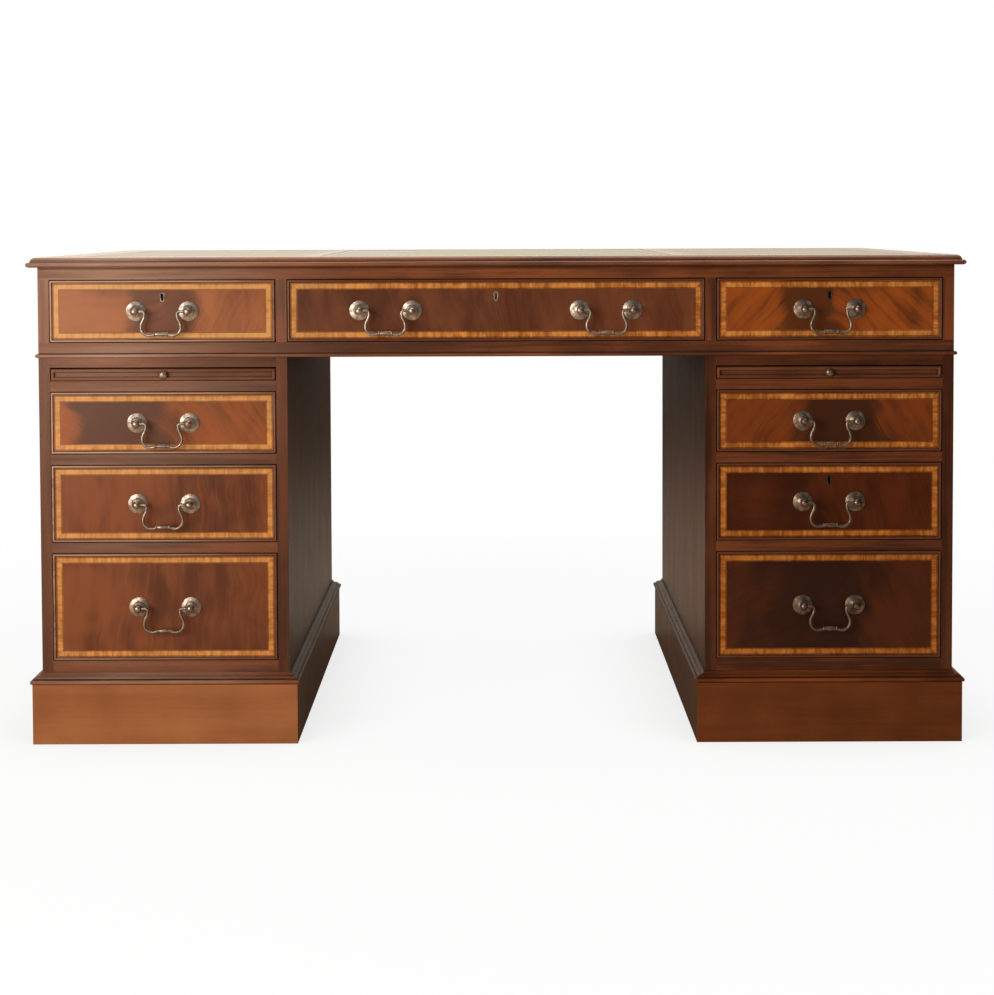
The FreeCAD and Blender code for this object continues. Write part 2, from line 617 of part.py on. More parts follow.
def bail(centre):
    """Swan-neck bail in one casting: bent rod, turned grip and two pins."""
    pivot = centre - Y_AXIS * PIVOT_STANDOFF

    def place(across, up):
        return pivot + Vector(across, 0, up)
    path = Part.Wire(bail_half_path(-1, place) + bail_half_path(1, place)[::-1])
    end = HANDLE_CENTRES / 2 - POST_HEAD_RADIUS - BAIL_END_GAP
    section = Part.Wire(Part.Circle(place(-end, 0), X_AXIS, BAIL_WIRE_RADIUS).toShape())
    rod = path.makePipeShell([section], True, True)
    bead_in = GRIP_HALF_LENGTH - GRIP_BEAD_WIDTH
    bead_mid = GRIP_HALF_LENGTH - GRIP_BEAD_WIDTH / 2
    steps = [(GRIP_NECK_RADIUS, -GRIP_HALF_LENGTH),
             (GRIP_BEAD_RADIUS, -bead_mid, GRIP_NECK_RADIUS, -bead_in),
             (GRIP_RADIUS, 0, GRIP_NECK_RADIUS, bead_in),
             (GRIP_BEAD_RADIUS, bead_mid, GRIP_NECK_RADIUS, GRIP_HALF_LENGTH), (0, GRIP_HALF_LENGTH)]
    grip = turned((0, -GRIP_HALF_LENGTH), steps, place(0, BAIL_ARCH - BAIL_DROP), X_AXIS, Z_AXIS)
    length = BAIL_END_GAP + 2 * POST_HEAD_RADIUS - BAIL_PIN_INSET
    pins = []
    for side in SIDES:
        pins.append(Part.makeCylinder(BAIL_PIN_RADIUS, length, place(side * end, 0), X_AXIS * side))
    return [rod.fuse([grip] + pins).removeSplitter().Solids[0]]


# Locks
def keyhole_prism(centre_x, centre_z, wall, near, far):
    """Keyhole shape, widened all round by wall, between two distances behind the front face."""
    top = KEYHOLE_RADIUS + wall
    foot = KEYHOLE_SLOT_RADIUS + wall
    lean = math.asin((top - foot) / KEYHOLE_SPACING)
    out, up = math.cos(lean), math.sin(lean)

    def place(across, rise):
        return Vector(centre_x + across, FRONT_FACE + near, centre_z + rise)
    steps = [(0, top, -top * out, top * -up),
             (-foot * out, -KEYHOLE_SPACING - foot * up),
             (0, -KEYHOLE_SPACING - foot, foot * out, -KEYHOLE_SPACING - foot * up)]
    return Part.Face(outline((top * out, top * -up), steps, place)).extrude(Y_AXIS * (far - near))


def lock(centre_x, front_top):
    """Lock case with its escutcheon, the bolt, and what they cut out of the drawer front."""
    near = FRONT_THICKNESS - LOCK_DEPTH
    half = LOCK_WIDTH / 2
    mid = FRONT_FACE + FRONT_THICKNESS - LOCK_DEPTH / 2
    key_z = front_top - KEYHOLE_DROP
    case = block((centre_x - half, centre_x + half), (FRONT_FACE + near, FRONT_FACE + FRONT_THICKNESS),
                 (front_top - LOCK_HEIGHT, front_top))

    def bolt_block(room, above):
        return block((centre_x - BOLT_WIDTH / 2 - room, centre_x + BOLT_WIDTH / 2 + room),
                     (mid - BOLT_THICKNESS / 2 - room, mid + BOLT_THICKNESS / 2 + room),
                     (front_top - BOLT_HEIGHT, front_top + above))
    hollow = bolt_block(BOLT_CLEARANCE, OVERRUN)
    key_way = keyhole_prism(centre_x, key_z, 0, -ESCUTCHEON_PROUD - OVERRUN, near)
    seat = keyhole_prism(centre_x, key_z, ESCUTCHEON_WALL, 0, ESCUTCHEON_DEPTH)
    escutcheon = keyhole_prism(centre_x, key_z, ESCUTCHEON_WALL, -ESCUTCHEON_PROUD, ESCUTCHEON_DEPTH)
    fittings = [case.cut(hollow).Solids[0], escutcheon.cut(key_way).Solids[0]]
    return fittings, [bolt_block(0, 0)], [case, key_way, seat]


# Drawers
def tails(xs, shoulder, tip, zs):
    """Dovetails along the end of a drawer side, from the shoulder line to the tip line."""
    count = max(2, round((zs[1] - zs[0]) / TAIL_PITCH))
    pitch = (zs[1] - zs[0]) / count
    root = pitch * TAIL_ROOT_SHARE
    flare = pitch * TAIL_TIP_SHARE
    shapes = []
    for number in range(count):
        mid = zs[0] + (number + 0.5) * pitch
        points = [Vector(xs[0], shoulder, mid - root), Vector(xs[0], tip, mid - flare),
                  Vector(xs[0], tip, mid + flare), Vector(xs[0], shoulder, mid + root)]
        face = Part.Face(Part.makePolygon(points + points[:1]))
        shapes.append(face.extrude(X_AXIS * (xs[1] - xs[0])))
    return shapes


def drawer_box(centre_x, half, base, height):
    """Dovetailed sides, back and grooved-in bottom, with the tails that cut their sockets in the front."""
    shoulder = FRONT_FACE + FRONT_THICKNESS
    front_tip = FRONT_FACE + COCKBEAD_DEPTH + DOVETAIL_LAP
    rear_shoulder = DRAWER_REAR - DRAWER_BACK
    low = base + RUN_CLEARANCE
    side_top = base + height - SIDE_DROP
    bottom_zs = (low + GROOVE_RISE, low + GROOVE_RISE + DRAWER_BOTTOM)
    back_zs = (bottom_zs[1], side_top - BACK_DROP)
    inner = half - DRAWER_SIDE
    bottom = block((centre_x - inner - GROOVE_DEPTH, centre_x + inner + GROOVE_DEPTH),
                   (shoulder - GROOVE_DEPTH, DRAWER_REAR), bottom_zs)
    sides = []
    front_tails = []
    rear_tails = []
    for edge in SIDES:
        xs = span(centre_x + edge * inner, centre_x + edge * half)
        at_front = tails(xs, shoulder, front_tip, (low, side_top))
        at_rear = tails(xs, rear_shoulder, DRAWER_REAR, back_zs)
        board = block(xs, (shoulder, rear_shoulder), (low, side_top))
        board = board.fuse(at_front + at_rear).removeSplitter()
        sides.append(board.cut(bottom).Solids[0])
        front_tails += at_front
        rear_tails += at_rear
    back = block((centre_x - half, centre_x + half), (rear_shoulder, DRAWER_REAR), back_zs)
    return sides + [cut_all(back, rear_tails), bottom], front_tails + [bottom]


def drawer_front(centre_x, centre_z, half_x, half_z, cuts):
    """Front board, rebated for its cockbeads and grooved for its banding, with both."""
    core_x = half_x - COCKBEAD_THICKNESS
    core_z = half_z - COCKBEAD_THICKNESS
    rebate = FRONT_FACE + COCKBEAD_DEPTH
    face = block((centre_x - core_x, centre_x + core_x), (FRONT_FACE, rebate),
                 (centre_z - core_z, centre_z + core_z))
    body = block((centre_x - half_x, centre_x + half_x), (rebate, FRONT_FACE + FRONT_THICKNESS),
                 (centre_z - half_z, centre_z + half_z))
    nose = COCKBEAD_PROUD - COCKBEAD_THICKNESS / 2
    bead_steps = [(COCKBEAD_THICKNESS, -COCKBEAD_DEPTH), (COCKBEAD_THICKNESS, nose),
                  (COCKBEAD_THICKNESS / 2, COCKBEAD_PROUD, 0, nose)]
    beads = mitred_lengths((0, -COCKBEAD_DEPTH), bead_steps, core_x, core_z, COCKBEAD_THICKNESS)
    inset = BANDING_INSET + BANDING_WIDTH
    strip_steps = [(BANDING_WIDTH, -BANDING_THICKNESS), (BANDING_WIDTH, 0), (0, 0)]
    banding = mitred_lengths((0, -BANDING_THICKNESS), strip_steps, half_x - inset, half_z - inset,
                             BANDING_WIDTH)
    stood_up(beads + banding, centre_x, centre_z)
    board = cut_all(body.fuse(face).removeSplitter(), banding + cuts)
    return [board] + beads + banding


def drawer(centre_x, base, width, height, handle_places, with_lock):
    """Front, box, fittings, bails and lock bolt of one drawer in its opening."""
    half_x = width / 2 - DRAWER_GAP
    half_z = height / 2 - DRAWER_GAP
    centre_z = base + height / 2
    box, cuts = drawer_box(centre_x, half_x, base, height)
    fittings = []
    bails = []
    bolt = []
    for place in handle_places:
        handle = Vector(centre_x + place, FRONT_FACE, centre_z)
        bails.append(bail(handle))
        for side in SIDES:
            seat = handle + X_AXIS * (side * HANDLE_CENTRES / 2)
            fittings += [rose(seat), post(seat), nut(seat)]
            start = seat - Y_AXIS * OVERRUN
            cuts.append(Part.makeCylinder(POST_SHANK_RADIUS + POST_FIT, FRONT_THICKNESS + 2 * OVERRUN,
                                          start, Y_AXIS))
    if with_lock:
        lock_parts, bolt, lock_cuts = lock(centre_x, centre_z + half_z)
        fittings += lock_parts
        cuts += lock_cuts
    return {"front": drawer_front(centre_x, centre_z, half_x, half_z, cuts), "box": box,
            "fittings": fittings, "bails": bails, "bolt": bolt}


def drawer_nodes(name, made, bail_names):
    """Named nodes of one drawer."""
    named = {name + "_drawer_front": made["front"], name + "_drawer_box": made["box"],
             name + "_drawer_fittings": made["fittings"]}
    named.update(zip(bail_names, made["bails"]))
    if made["bolt"]:
        named[name + "_lock_bolt"] = made["bolt"]
    return named


# The whole desk
def desk():
    """Every node of the desk by name, each a list of solids."""
    peg_shapes, peg_holes = pegs()
    leather = leather_panels()
    nodes = {"desk_top": desk_top(leather), "top_edging": top_edging(), "leather_panels": leather,
             "frieze_frame": frieze_frame(peg_holes), "frieze_runners": frieze_runners(),
             "plinth_mouldings": plinth_mouldings(), "locating_pegs": peg_shapes}
    for side in SIDES:
        name = SIDE_NAMES[side]
        carcase, rails, runners = pedestal(side, peg_holes)
        board, turned_knob = slide(side)
        nodes.update({name + "_pedestal_carcase": carcase, name + "_pedestal_rails": rails,
                      name + "_pedestal_runners": runners, name + "_plinth": plinth(side),
                      name + "_slide_board": board, name + "_slide_knob": turned_knob})
        levels = {"frieze_" + name: (FRIEZE_DRAWER_BASE, FRIEZE_OPENING, True),
                  name + "_upper": (UPPER_BASE, UPPER_OPENING, False),
                  name + "_middle": (MIDDLE_BASE, MIDDLE_OPENING, side > 0),
                  name + "_lower": (LOWER_BASE, LOWER_OPENING, False)}
        for drawer_name, (base, height, with_lock) in levels.items():
            made = drawer(side * PEDESTAL_CENTRE, base, PEDESTAL_OPENING, height, (0,), with_lock)
            nodes.update(drawer_nodes(drawer_name, made, [drawer_name + "_bail"]))
    places = [side * CENTRE_HANDLE_SPACING / 2 for side in SIDES]
    made = drawer(0, FRIEZE_DRAWER_BASE, KNEEHOLE_WIDTH, FRIEZE_OPENING, places, True)
    bail_names = ["frieze_centre_" + SIDE_NAMES[side] + "_bail" for side in SIDES]
    nodes.update(drawer_nodes("frieze_centre", made, bail_names))
    return nodes


os.makedirs("parts", exist_ok=True)
for node, solids in desk().items():
    shape = solids[0] if len(solids) == 1 else Part.makeCompound(solids)
    shape.exportStep("parts/" + node + ".step")
    print(node, len(solids), "solids, valid", shape.isValid())
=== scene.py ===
# %% [markdown]
# # A mahogany pedestal desk
# A writing desk in three sections: a top section with three frieze drawers under a leather-lined writing
# top, and two pedestals, each with a pull-out slide and three drawers. The CAD model already holds every
# board, bead and handle at its real size, so it is loaded as a fixed frame. What is left for Blender is
# what the eye reads as polished wood, inlay, leather and old brass, and most of this lesson is about those
# finishes.

# %% Load the desk
import math

import bpy
import numpy as np
from mathutils import Matrix, Vector


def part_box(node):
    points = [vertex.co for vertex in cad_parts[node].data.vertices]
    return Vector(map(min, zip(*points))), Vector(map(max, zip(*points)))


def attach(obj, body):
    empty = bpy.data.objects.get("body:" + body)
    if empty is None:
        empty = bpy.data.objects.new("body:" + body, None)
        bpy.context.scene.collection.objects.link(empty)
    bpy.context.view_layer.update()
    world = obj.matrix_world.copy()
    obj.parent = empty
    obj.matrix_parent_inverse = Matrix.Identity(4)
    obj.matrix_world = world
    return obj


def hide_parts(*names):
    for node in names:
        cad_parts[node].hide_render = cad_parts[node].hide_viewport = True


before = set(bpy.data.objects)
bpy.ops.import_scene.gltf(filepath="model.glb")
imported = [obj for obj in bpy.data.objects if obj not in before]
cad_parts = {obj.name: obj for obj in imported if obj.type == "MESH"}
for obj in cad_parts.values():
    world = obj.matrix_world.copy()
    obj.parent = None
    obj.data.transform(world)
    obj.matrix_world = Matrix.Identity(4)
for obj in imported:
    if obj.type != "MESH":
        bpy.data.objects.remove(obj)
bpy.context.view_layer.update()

# %% [markdown]
# ## The camera
# The desk is seen from straight in front, a little above the writing top, so the top is a thin pale sliver.
# The camera stands where the desk's known corners fall on the same places in the picture. A sensor shift
# keeps the uprights nearly upright, as a view camera does, and the rest of the framing is a slight downward
# pitch.

# %% Camera
MM = 0.001
IMAGE_HEIGHT = 995  # pixels, the longer side
FOCAL_PIXELS = 2089.0
SENSOR_MM = 36.0
CAMERA_PLACE = Vector((1.6, -3808.4, 843.8)) * MM
CAMERA_PITCH = math.radians(2.624)
CAMERA_ROLL = math.radians(-0.205)
CAMERA_SHIFT = -0.18

camera_data = bpy.data.cameras.new("camera")
camera_data.sensor_width = SENSOR_MM
camera_data.lens = FOCAL_PIXELS * SENSOR_MM / IMAGE_HEIGHT
camera_data.shift_y = CAMERA_SHIFT
camera = bpy.data.objects.new("camera", camera_data)
camera.location = CAMERA_PLACE
level = Matrix.Rotation(math.pi / 2 - CAMERA_PITCH, 3, "X")
camera.rotation_euler = (level @ Matrix.Rotation(CAMERA_ROLL, 3, "Z")).to_euler()
bpy.context.collection.objects.link(camera)
bpy.context.scene.camera = camera
bpy.context.scene.view_settings.view_transform = "Standard"
print("camera lens", round(camera_data.lens, 1), "mm")

# %% [markdown]
# ## Small helpers for shader nodes
# A material in Blender is a graph of nodes. Written out in full, each node takes several lines, and the
# idea of the finish gets lost. These helpers add one node in one line, and take plain values or other
# nodes' outputs alike.

# %% Node helpers
def fill(tree, node, inputs):
    """Fills a node's inputs with plain values or links."""
    for name, value in inputs.items():
        if isinstance(value, bpy.types.NodeSocket):
            tree.links.new(value, node.inputs[name])
        else:
            node.inputs[name].default_value = value
    return node


def put(tree, kind, inputs=(), **settings):
    """Adds a shader node, gives it its settings, and fills its inputs."""
    made = tree.nodes.new("ShaderNode" + kind)
    for name, value in settings.items():
        setattr(made, name, value)
    return fill(tree, made, dict(inputs))


def sums(tree, operation, first, second=0.0):
    """One sum on two numbers."""
    return put(tree, "Math", {0: first, 1: second}, operation=operation).outputs[0]


def times(tree, product, *factors):
    """The product of several numbers."""
    for factor in factors:
        product = sums(tree, "MULTIPLY", product, factor)
    return product


def off(tree, value, middle=0.0):
    """How far a number is from a middle, either way."""
    return sums(tree, "ABSOLUTE", sums(tree, "SUBTRACT", value, middle))


def within(tree, value, low, high):
    """1 where a number lies between two others."""
    return times(tree, sums(tree, "GREATER_THAN", value, low), sums(tree, "LESS_THAN", value, high))


def weighted(tree, *terms):
    """Adds up values, each times its weight."""
    total = 0.0
    for value, weight in terms:
        total = put(tree, "Math", {0: value, 1: weight, 2: total}, operation="MULTIPLY_ADD").outputs[0]
    return total


def ramp(tree, value, low, high, start=0.0, end=1.0):
    """Smooth step from start to end as the value goes from low to high."""
    given = {"Value": value, "From Min": low, "From Max": high, "To Min": start, "To Max": end}
    return put(tree, "MapRange", given, interpolation_type="SMOOTHSTEP").outputs["Result"]


def tint(tree, factor, base, over, mode="MIX"):
    """Lays one colour over another by a factor."""
    return put(tree, "Mix", {0: factor, 6: base, 7: over}, data_type="RGBA", blend_type=mode).outputs[2]


def either(tree, factor, first, second):
    """The first vector where the factor is 0, the second where it is 1."""
    return put(tree, "Mix", {0: factor, 4: first, 5: second}, data_type="VECTOR").outputs[1]


print("helpers for numbers and colours ready")

# %% [markdown]
# The second half of the helpers is about places. Nearly every pattern below starts from the object
# coordinates, which here are the desk's own metres, so a pattern can be put where a size of the desk says.
# Noise that is stretched far along one axis turns into fibres, and noise left round turns into clouds.

# %% Place helpers
def parts(tree, vector):
    """The three numbers of a vector."""
    return put(tree, "SeparateXYZ", {0: vector}).outputs


def joined(tree, x, y, z):
    """A vector of three numbers."""
    return put(tree, "CombineXYZ", {0: x, 1: y, 2: z}).outputs[0]


def length(tree, vector):
    """How long a vector is."""
    return put(tree, "VectorMath", {0: vector}, operation="LENGTH").outputs["Value"]


def here(tree):
    """Object coordinates, which are the desk's own metres."""
    return put(tree, "TexCoord").outputs["Object"]


def facing(tree):
    """The surface normal, as three numbers."""
    return parts(tree, put(tree, "NewGeometry").outputs["Normal"])


def moved(tree, vector, scale=(1, 1, 1), place=(0, 0, 0), turn=(0, 0, 0)):
    """Stretches, turns and shifts a vector."""
    given = {"Vector": vector, "Scale": scale, "Location": place, "Rotation": turn}
    return put(tree, "Mapping", given).outputs["Vector"]


def cloud(tree, vector, scale, detail=2.0, rough=0.5, warp=0.0):
    """Soft random value about 0.5."""
    given = {"Vector": vector, "Scale": scale, "Detail": detail, "Roughness": rough, "Distortion": warp}
    return put(tree, "TexNoise", given).outputs["Fac"]


print("helpers for places ready")

# %% [markdown]
# An effect that several materials share goes into a node group. A group is built once, with named sockets,
# and is then placed in each material with that material's own values.

# %% Group helpers
def shader_group(name, inputs, outputs):
    """An empty node group with named sockets: the tree, what it is given and what it gives."""
    tree = bpy.data.node_groups.new(name, "ShaderNodeTree")
    for way, sockets in (("INPUT", inputs), ("OUTPUT", outputs)):
        for socket, kind in sockets.items():
            tree.interface.new_socket(socket, in_out=way, socket_type="NodeSocket" + kind)
    return tree, tree.nodes.new("NodeGroupInput").outputs, tree.nodes.new("NodeGroupOutput").inputs


def give(tree, result, **values):
    """Links a group's results by name."""
    for name, value in values.items():
        tree.links.new(value, result[name])


def use(tree, group, **inputs):
    """Places a node group, with its inputs by name."""
    made = tree.nodes.new("ShaderNodeGroup")
    made.node_tree = group
    return fill(tree, made, inputs).outputs


print("helpers for groups ready")

# %% [markdown]
# ## The floor
# A pale floor and a white background, as in a catalogue. The floor shows white to the camera, apart from a
# faint shadow of the desk that is a little deeper close to the plinths. To mirror-like rays it is a warm
# bright floor near the desk, dimmer far away and between the pedestals, because a cut-out white in every
# reflection would turn dark wood grey. For the light that the floor throws back it is the warm darker floor
# of a room.

# %% Floor finish
WHITE = (1, 1, 1, 1)
BLACK = (0, 0, 0, 1)
FLOOR_COLOUR = (0.86, 0.86, 0.85, 1)
FLOOR_BOUNCE = (0.55, 0.46, 0.36, 1)
FLOOR_SHADOW_SHARE = 0.06  # how much of the true shading shows near the desk
FLOOR_FADE = (0.9, 2.4)  # metres from the desk, over which the floor turns plain white
CONTACT_REACH = 0.2  # metres round the plinths, where more of the shading shows
CONTACT_OPEN = (0.4, 1.0)  # how open to the room a place is, where that is most and where it ends
CONTACT_SHARE = 0.15
FLOOR_GLOW = (1.0, 0.78, 0.57, 1)  # of the bright floor, as polished wood sees it
FLOOR_MIRROR_SHARE = 0.28  # how much of that brightness polished wood and brass see, near the desk
FLOOR_MIRROR_REACH = (0.6, 4.5)  # metres, over which they lose it
FLOOR_FAR_SHARE = 0.3  # of its shaded colour, which they still see beyond that
KNEEHOLE_FLOOR = 0.55  # how much darker they see the floor between the pedestals
inner_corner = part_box("left_pedestal_carcase")[1]
HALF_KNEEHOLE = -inner_corner.x


def sees_background(tree, glossy=1.0):
    """1 on rays that show the background: camera and transmission rays, and glossy rays times a factor."""
    path = put(tree, "LightPath").outputs
    seen = sums(tree, "MAXIMUM", path["Is Camera Ray"], path["Is Transmission Ray"])
    return sums(tree, "MAXIMUM", seen, times(tree, path["Is Glossy Ray"], glossy))


def floor_finish():
    """Mixes a plain shaded floor with a white that shines by itself.

    The white's share is 1 to the camera, less a little near the desk and in the contact shadow.
    To glossy rays it falls off with the distance, and between the pedestals."""
    material = bpy.data.materials.new("studio_floor")
    material.use_nodes = True
    tree = material.node_tree
    tree.nodes.remove(tree.nodes["Principled BSDF"])
    x, y, z = parts(tree, here(tree))
    distance = length(tree, here(tree))
    open_share = put(tree, "AmbientOcclusion", {"Distance": CONTACT_REACH}, samples=8).outputs["AO"]
    contact = ramp(tree, open_share, *CONTACT_OPEN, 1 - CONTACT_SHARE, 1.0)
    white_share = times(tree, contact, ramp(tree, distance, *FLOOR_FADE, 1 - FLOOR_SHADOW_SHARE, 1.0))
    between = times(tree, sums(tree, "LESS_THAN", off(tree, x), HALF_KNEEHOLE),
                    sums(tree, "LESS_THAN", off(tree, y), inner_corner.y))
    dimmed = times(tree, between, KNEEHOLE_FLOOR)
    mirrored = times(tree, ramp(tree, distance, *FLOOR_MIRROR_REACH, FLOOR_MIRROR_SHARE, 0.0),
                     sums(tree, "SUBTRACT", 1.0, dimmed))
    factor = times(tree, sees_background(tree, mirrored), white_share)
    path = put(tree, "LightPath").outputs
    glossy = path["Is Glossy Ray"]
    far = ramp(tree, distance, *FLOOR_MIRROR_REACH, 0.0, 1 - FLOOR_FAR_SHARE)
    darker = times(tree, glossy, sums(tree, "MAXIMUM", far, dimmed))
    colour = tint(tree, path["Is Camera Ray"], FLOOR_BOUNCE, FLOOR_COLOUR)
    shaded = put(tree, "BsdfDiffuse", {"Color": tint(tree, darker, colour, BLACK)}).outputs[0]
    shown = tint(tree, glossy, WHITE, FLOOR_GLOW)
    white = put(tree, "Emission", {"Color": shown, "Strength": 1.0}).outputs[0]
    mixed = put(tree, "MixShader", {0: factor, 1: shaded, 2: white}).outputs[0]
    tree.links.new(mixed, tree.nodes["Material Output"].inputs["Surface"])
    return material


floor_white = floor_finish()
print("floor finish", floor_white.name)

# %% [markdown]
# The floor itself is one large square, so large that its far edge is lost in the white. It belongs to the
# studio and not to the desk, so it is handed over as a part of the stage.

# %% Floor
FLOOR_HALF = 30.0  # metres


def studio_floor():
    """Square floor under the desk: the corners of a unit square times half its size."""
    corners = np.array([(-1, -1, 0), (1, -1, 0), (1, 1, 0), (-1, 1, 0)]) * FLOOR_HALF
    mesh = bpy.data.meshes.new("studio_floor")
    mesh.from_pydata(corners.tolist(), [], [(0, 1, 2, 3)])
    mesh.materials.append(floor_white)
    floor = bpy.data.objects.new("studio_floor", mesh)
    bpy.context.collection.objects.link(floor)
    return floor


print("floor", studio_floor().name)

# %% [markdown]
# ## The room
# The world is white to the camera and a dim room to everything else, but for rays that bounce off polish
# and go on behind the desk: those meet a bright warm wall, brighter on the window side. Brass and leather
# need it, because a polished thing looks only as good as what it mirrors.

# %% World
ROOM_COLOUR = (1.0, 0.97, 0.93, 1)
ROOM_LEVEL = 0.2
ROOM_MIRROR_LEVEL = 0.06  # the dim side of the room, as polished wood sees it
WALL_COLOUR = (1.0, 0.86, 0.7, 1)
WALL_LEVELS = (1.4, 1.05)  # from the window side to the far side
WALL_ACROSS = (-0.25, 0.25)  # of a ray's direction, between those two
WALL_BACK = (0.0, 0.5)  # how far back a ray points, where the wall begins and is whole
WALL_FOOT = (-0.03, 0.06)  # how far up it points, likewise


def studio_world():
    """Dim room light all round, white to the camera, and a bright wall behind the desk to glossy rays."""
    world = bpy.data.worlds.new("studio")
    bpy.context.scene.world = world
    world.use_nodes = True
    tree = world.node_tree
    room = tree.nodes["Background"]
    room.inputs["Color"].default_value = ROOM_COLOUR
    mirrored = put(tree, "LightPath").outputs["Is Glossy Ray"]
    tree.links.new(ramp(tree, mirrored, 0.0, 1.0, ROOM_LEVEL, ROOM_MIRROR_LEVEL), room.inputs["Strength"])
    across, back, up = parts(tree, put(tree, "TexCoord").outputs["Generated"])
    behind = times(tree, ramp(tree, back, *WALL_BACK), ramp(tree, up, *WALL_FOOT))
    shown = tint(tree, mirrored, WHITE, WALL_COLOUR)
    level = ramp(tree, across, *WALL_ACROSS, *WALL_LEVELS)
    level = put(tree, "Mix", {0: mirrored, 2: 1.0, 3: level}).outputs[0]
    wall = put(tree, "Background", {"Color": shown, "Strength": level}).outputs[0]
    mixed = put(tree, "MixShader", {0: sees_background(tree, behind), 1: room.outputs[0], 2: wall}).outputs[0]
    tree.links.new(mixed, tree.nodes["World Output"].inputs["Surface"])
    return world


print("world", studio_world().name)

# %% [markdown]
# The lamps are separate from the world: one large soft box to the left of the camera, whose light falls off
# across the desk as window light does, a weak fill from the right and a soft lamp overhead.

# %% Lamps
DESK_MIDDLE = Vector((0, 0, 0.42))
# place, width, height, watts, colour
LAMPS = {
    "window_box": ((-1.9, -2.9, 0.95), 2.0, 1.6, 70, (1.0, 0.97, 0.92)),
    "fill_box": ((2.6, -3.4, 1.9), 1.6, 1.6, 5, (1.0, 0.95, 0.88)),
    "overhead_box": ((0.0, -0.2, 3.2), 2.6, 1.8, 40, (1.0, 0.98, 0.95)),
}


def soft_box(name, place, width, height, watts, colour):
    """Rectangular area lamp aimed at the middle of the desk."""
    data = bpy.data.lights.new(name, "AREA")
    data.shape = "RECTANGLE"
    data.size = width
    data.size_y = height
    data.energy = watts
    data.color = colour
    lamp = bpy.data.objects.new(name, data)
    lamp.location = place
    lamp.rotation_euler = (DESK_MIDDLE - Vector(place)).to_track_quat("-Z", "Y").to_euler()
    bpy.context.collection.objects.link(lamp)


for name, lamp in LAMPS.items():
    soft_box(name, *lamp)

# %% [markdown]
# ## Softened edges
# No edge on a piece of old furniture is sharp: it is eased with a plane when new and rubbed for years
# after. The Bevel node gives the normal that a rounded edge would have, without touching the mesh. Where
# that normal leaves the true one there is an edge, and a broken-up share of those edges is worn to paler
# wood. Hollows are the other way round: every quirk and corner is darker, partly from dust and wax that
# stay there and partly as painted shade. Ambient occlusion with a reach of a few millimetres, kept to the
# piece's own mesh so that it doesn't change when a drawer opens, finds them.

# %% Edge group
EASED_EDGE = 0.9 * MM
EDGE_TURN = (0.995, 0.9)  # cosine between the two normals, where an edge begins and is whole
NICK_SIZE = 36 * MM  # of the soft noise that breaks the wear up
NICK_CUT = (0.5, 0.68)
SHADE_AND_DIRT_REACH = 5 * MM
SHADE_AND_DIRT_OPEN = (0.8, 0.45)  # how open a hollow is, where the dust and painted shade begin and are whole


def softened_edges_group():
    """Normal with eased edges, and masks of the worn places along them and of the hollows, which hold dust
    and painted shade.

    Wear is how far the eased normal turns from the true one, times soft noise cut to a few patches.
    Dirt is a smooth step in how closed in the point is: dust and painted shade in the hollows."""
    tree, given, result = shader_group("softened_edges", {"Vector": "Vector"},
                                       {"Normal": "Vector", "Wear": "Float", "Dirt": "Float"})
    eased = put(tree, "Bevel", {"Radius": EASED_EDGE}, samples=4).outputs["Normal"]
    true = put(tree, "NewGeometry").outputs["Normal"]
    same = put(tree, "VectorMath", {0: eased, 1: true}, operation="DOT_PRODUCT").outputs["Value"]
    patches = ramp(tree, cloud(tree, given["Vector"], 1 / NICK_SIZE, 3, 0.6), *NICK_CUT)
    # painted shade and dust: how closed in a point of the piece's own mesh is
    openness = put(tree, "AmbientOcclusion", {"Distance": SHADE_AND_DIRT_REACH}, samples=6, only_local=True)
    give(tree, result, Normal=eased, Wear=times(tree, ramp(tree, same, *EDGE_TURN), patches),
         Dirt=ramp(tree, openness.outputs["AO"], *SHADE_AND_DIRT_OPEN))
    return tree


softened_edges = softened_edges_group()
print("group", softened_edges.name)

# %% [markdown]
# ## Mahogany boards
# The rails, stiles and mouldings are plain mahogany under an old varnish. Plain-sawn mahogany has slow
# bands of light and dark along the board, fine fibre lines inside them, and open pores that show as short
# dark dashes. Each is the same soft noise, stretched along the grain by a different amount. The group takes
# a vector whose X runs along the grain, so one group serves boards that lie in any direction.

# %% Board grain group
WOOD_OUTPUTS = {"Color": "Color", "Roughness": "Float", "Height": "Float"}
BAND_STRETCH = (0.7, 9, 9)
FIBRE_STRETCH = (1.6, 60, 60)
PORE_STRETCH = (130, 1900, 1900)
PORE_CUT = (0.6, 0.72)
PORE_SHARE = 0.45
BOARD_SHADES = (-0.42, 0.42)  # of the summed noise, from the dark colour to the light one


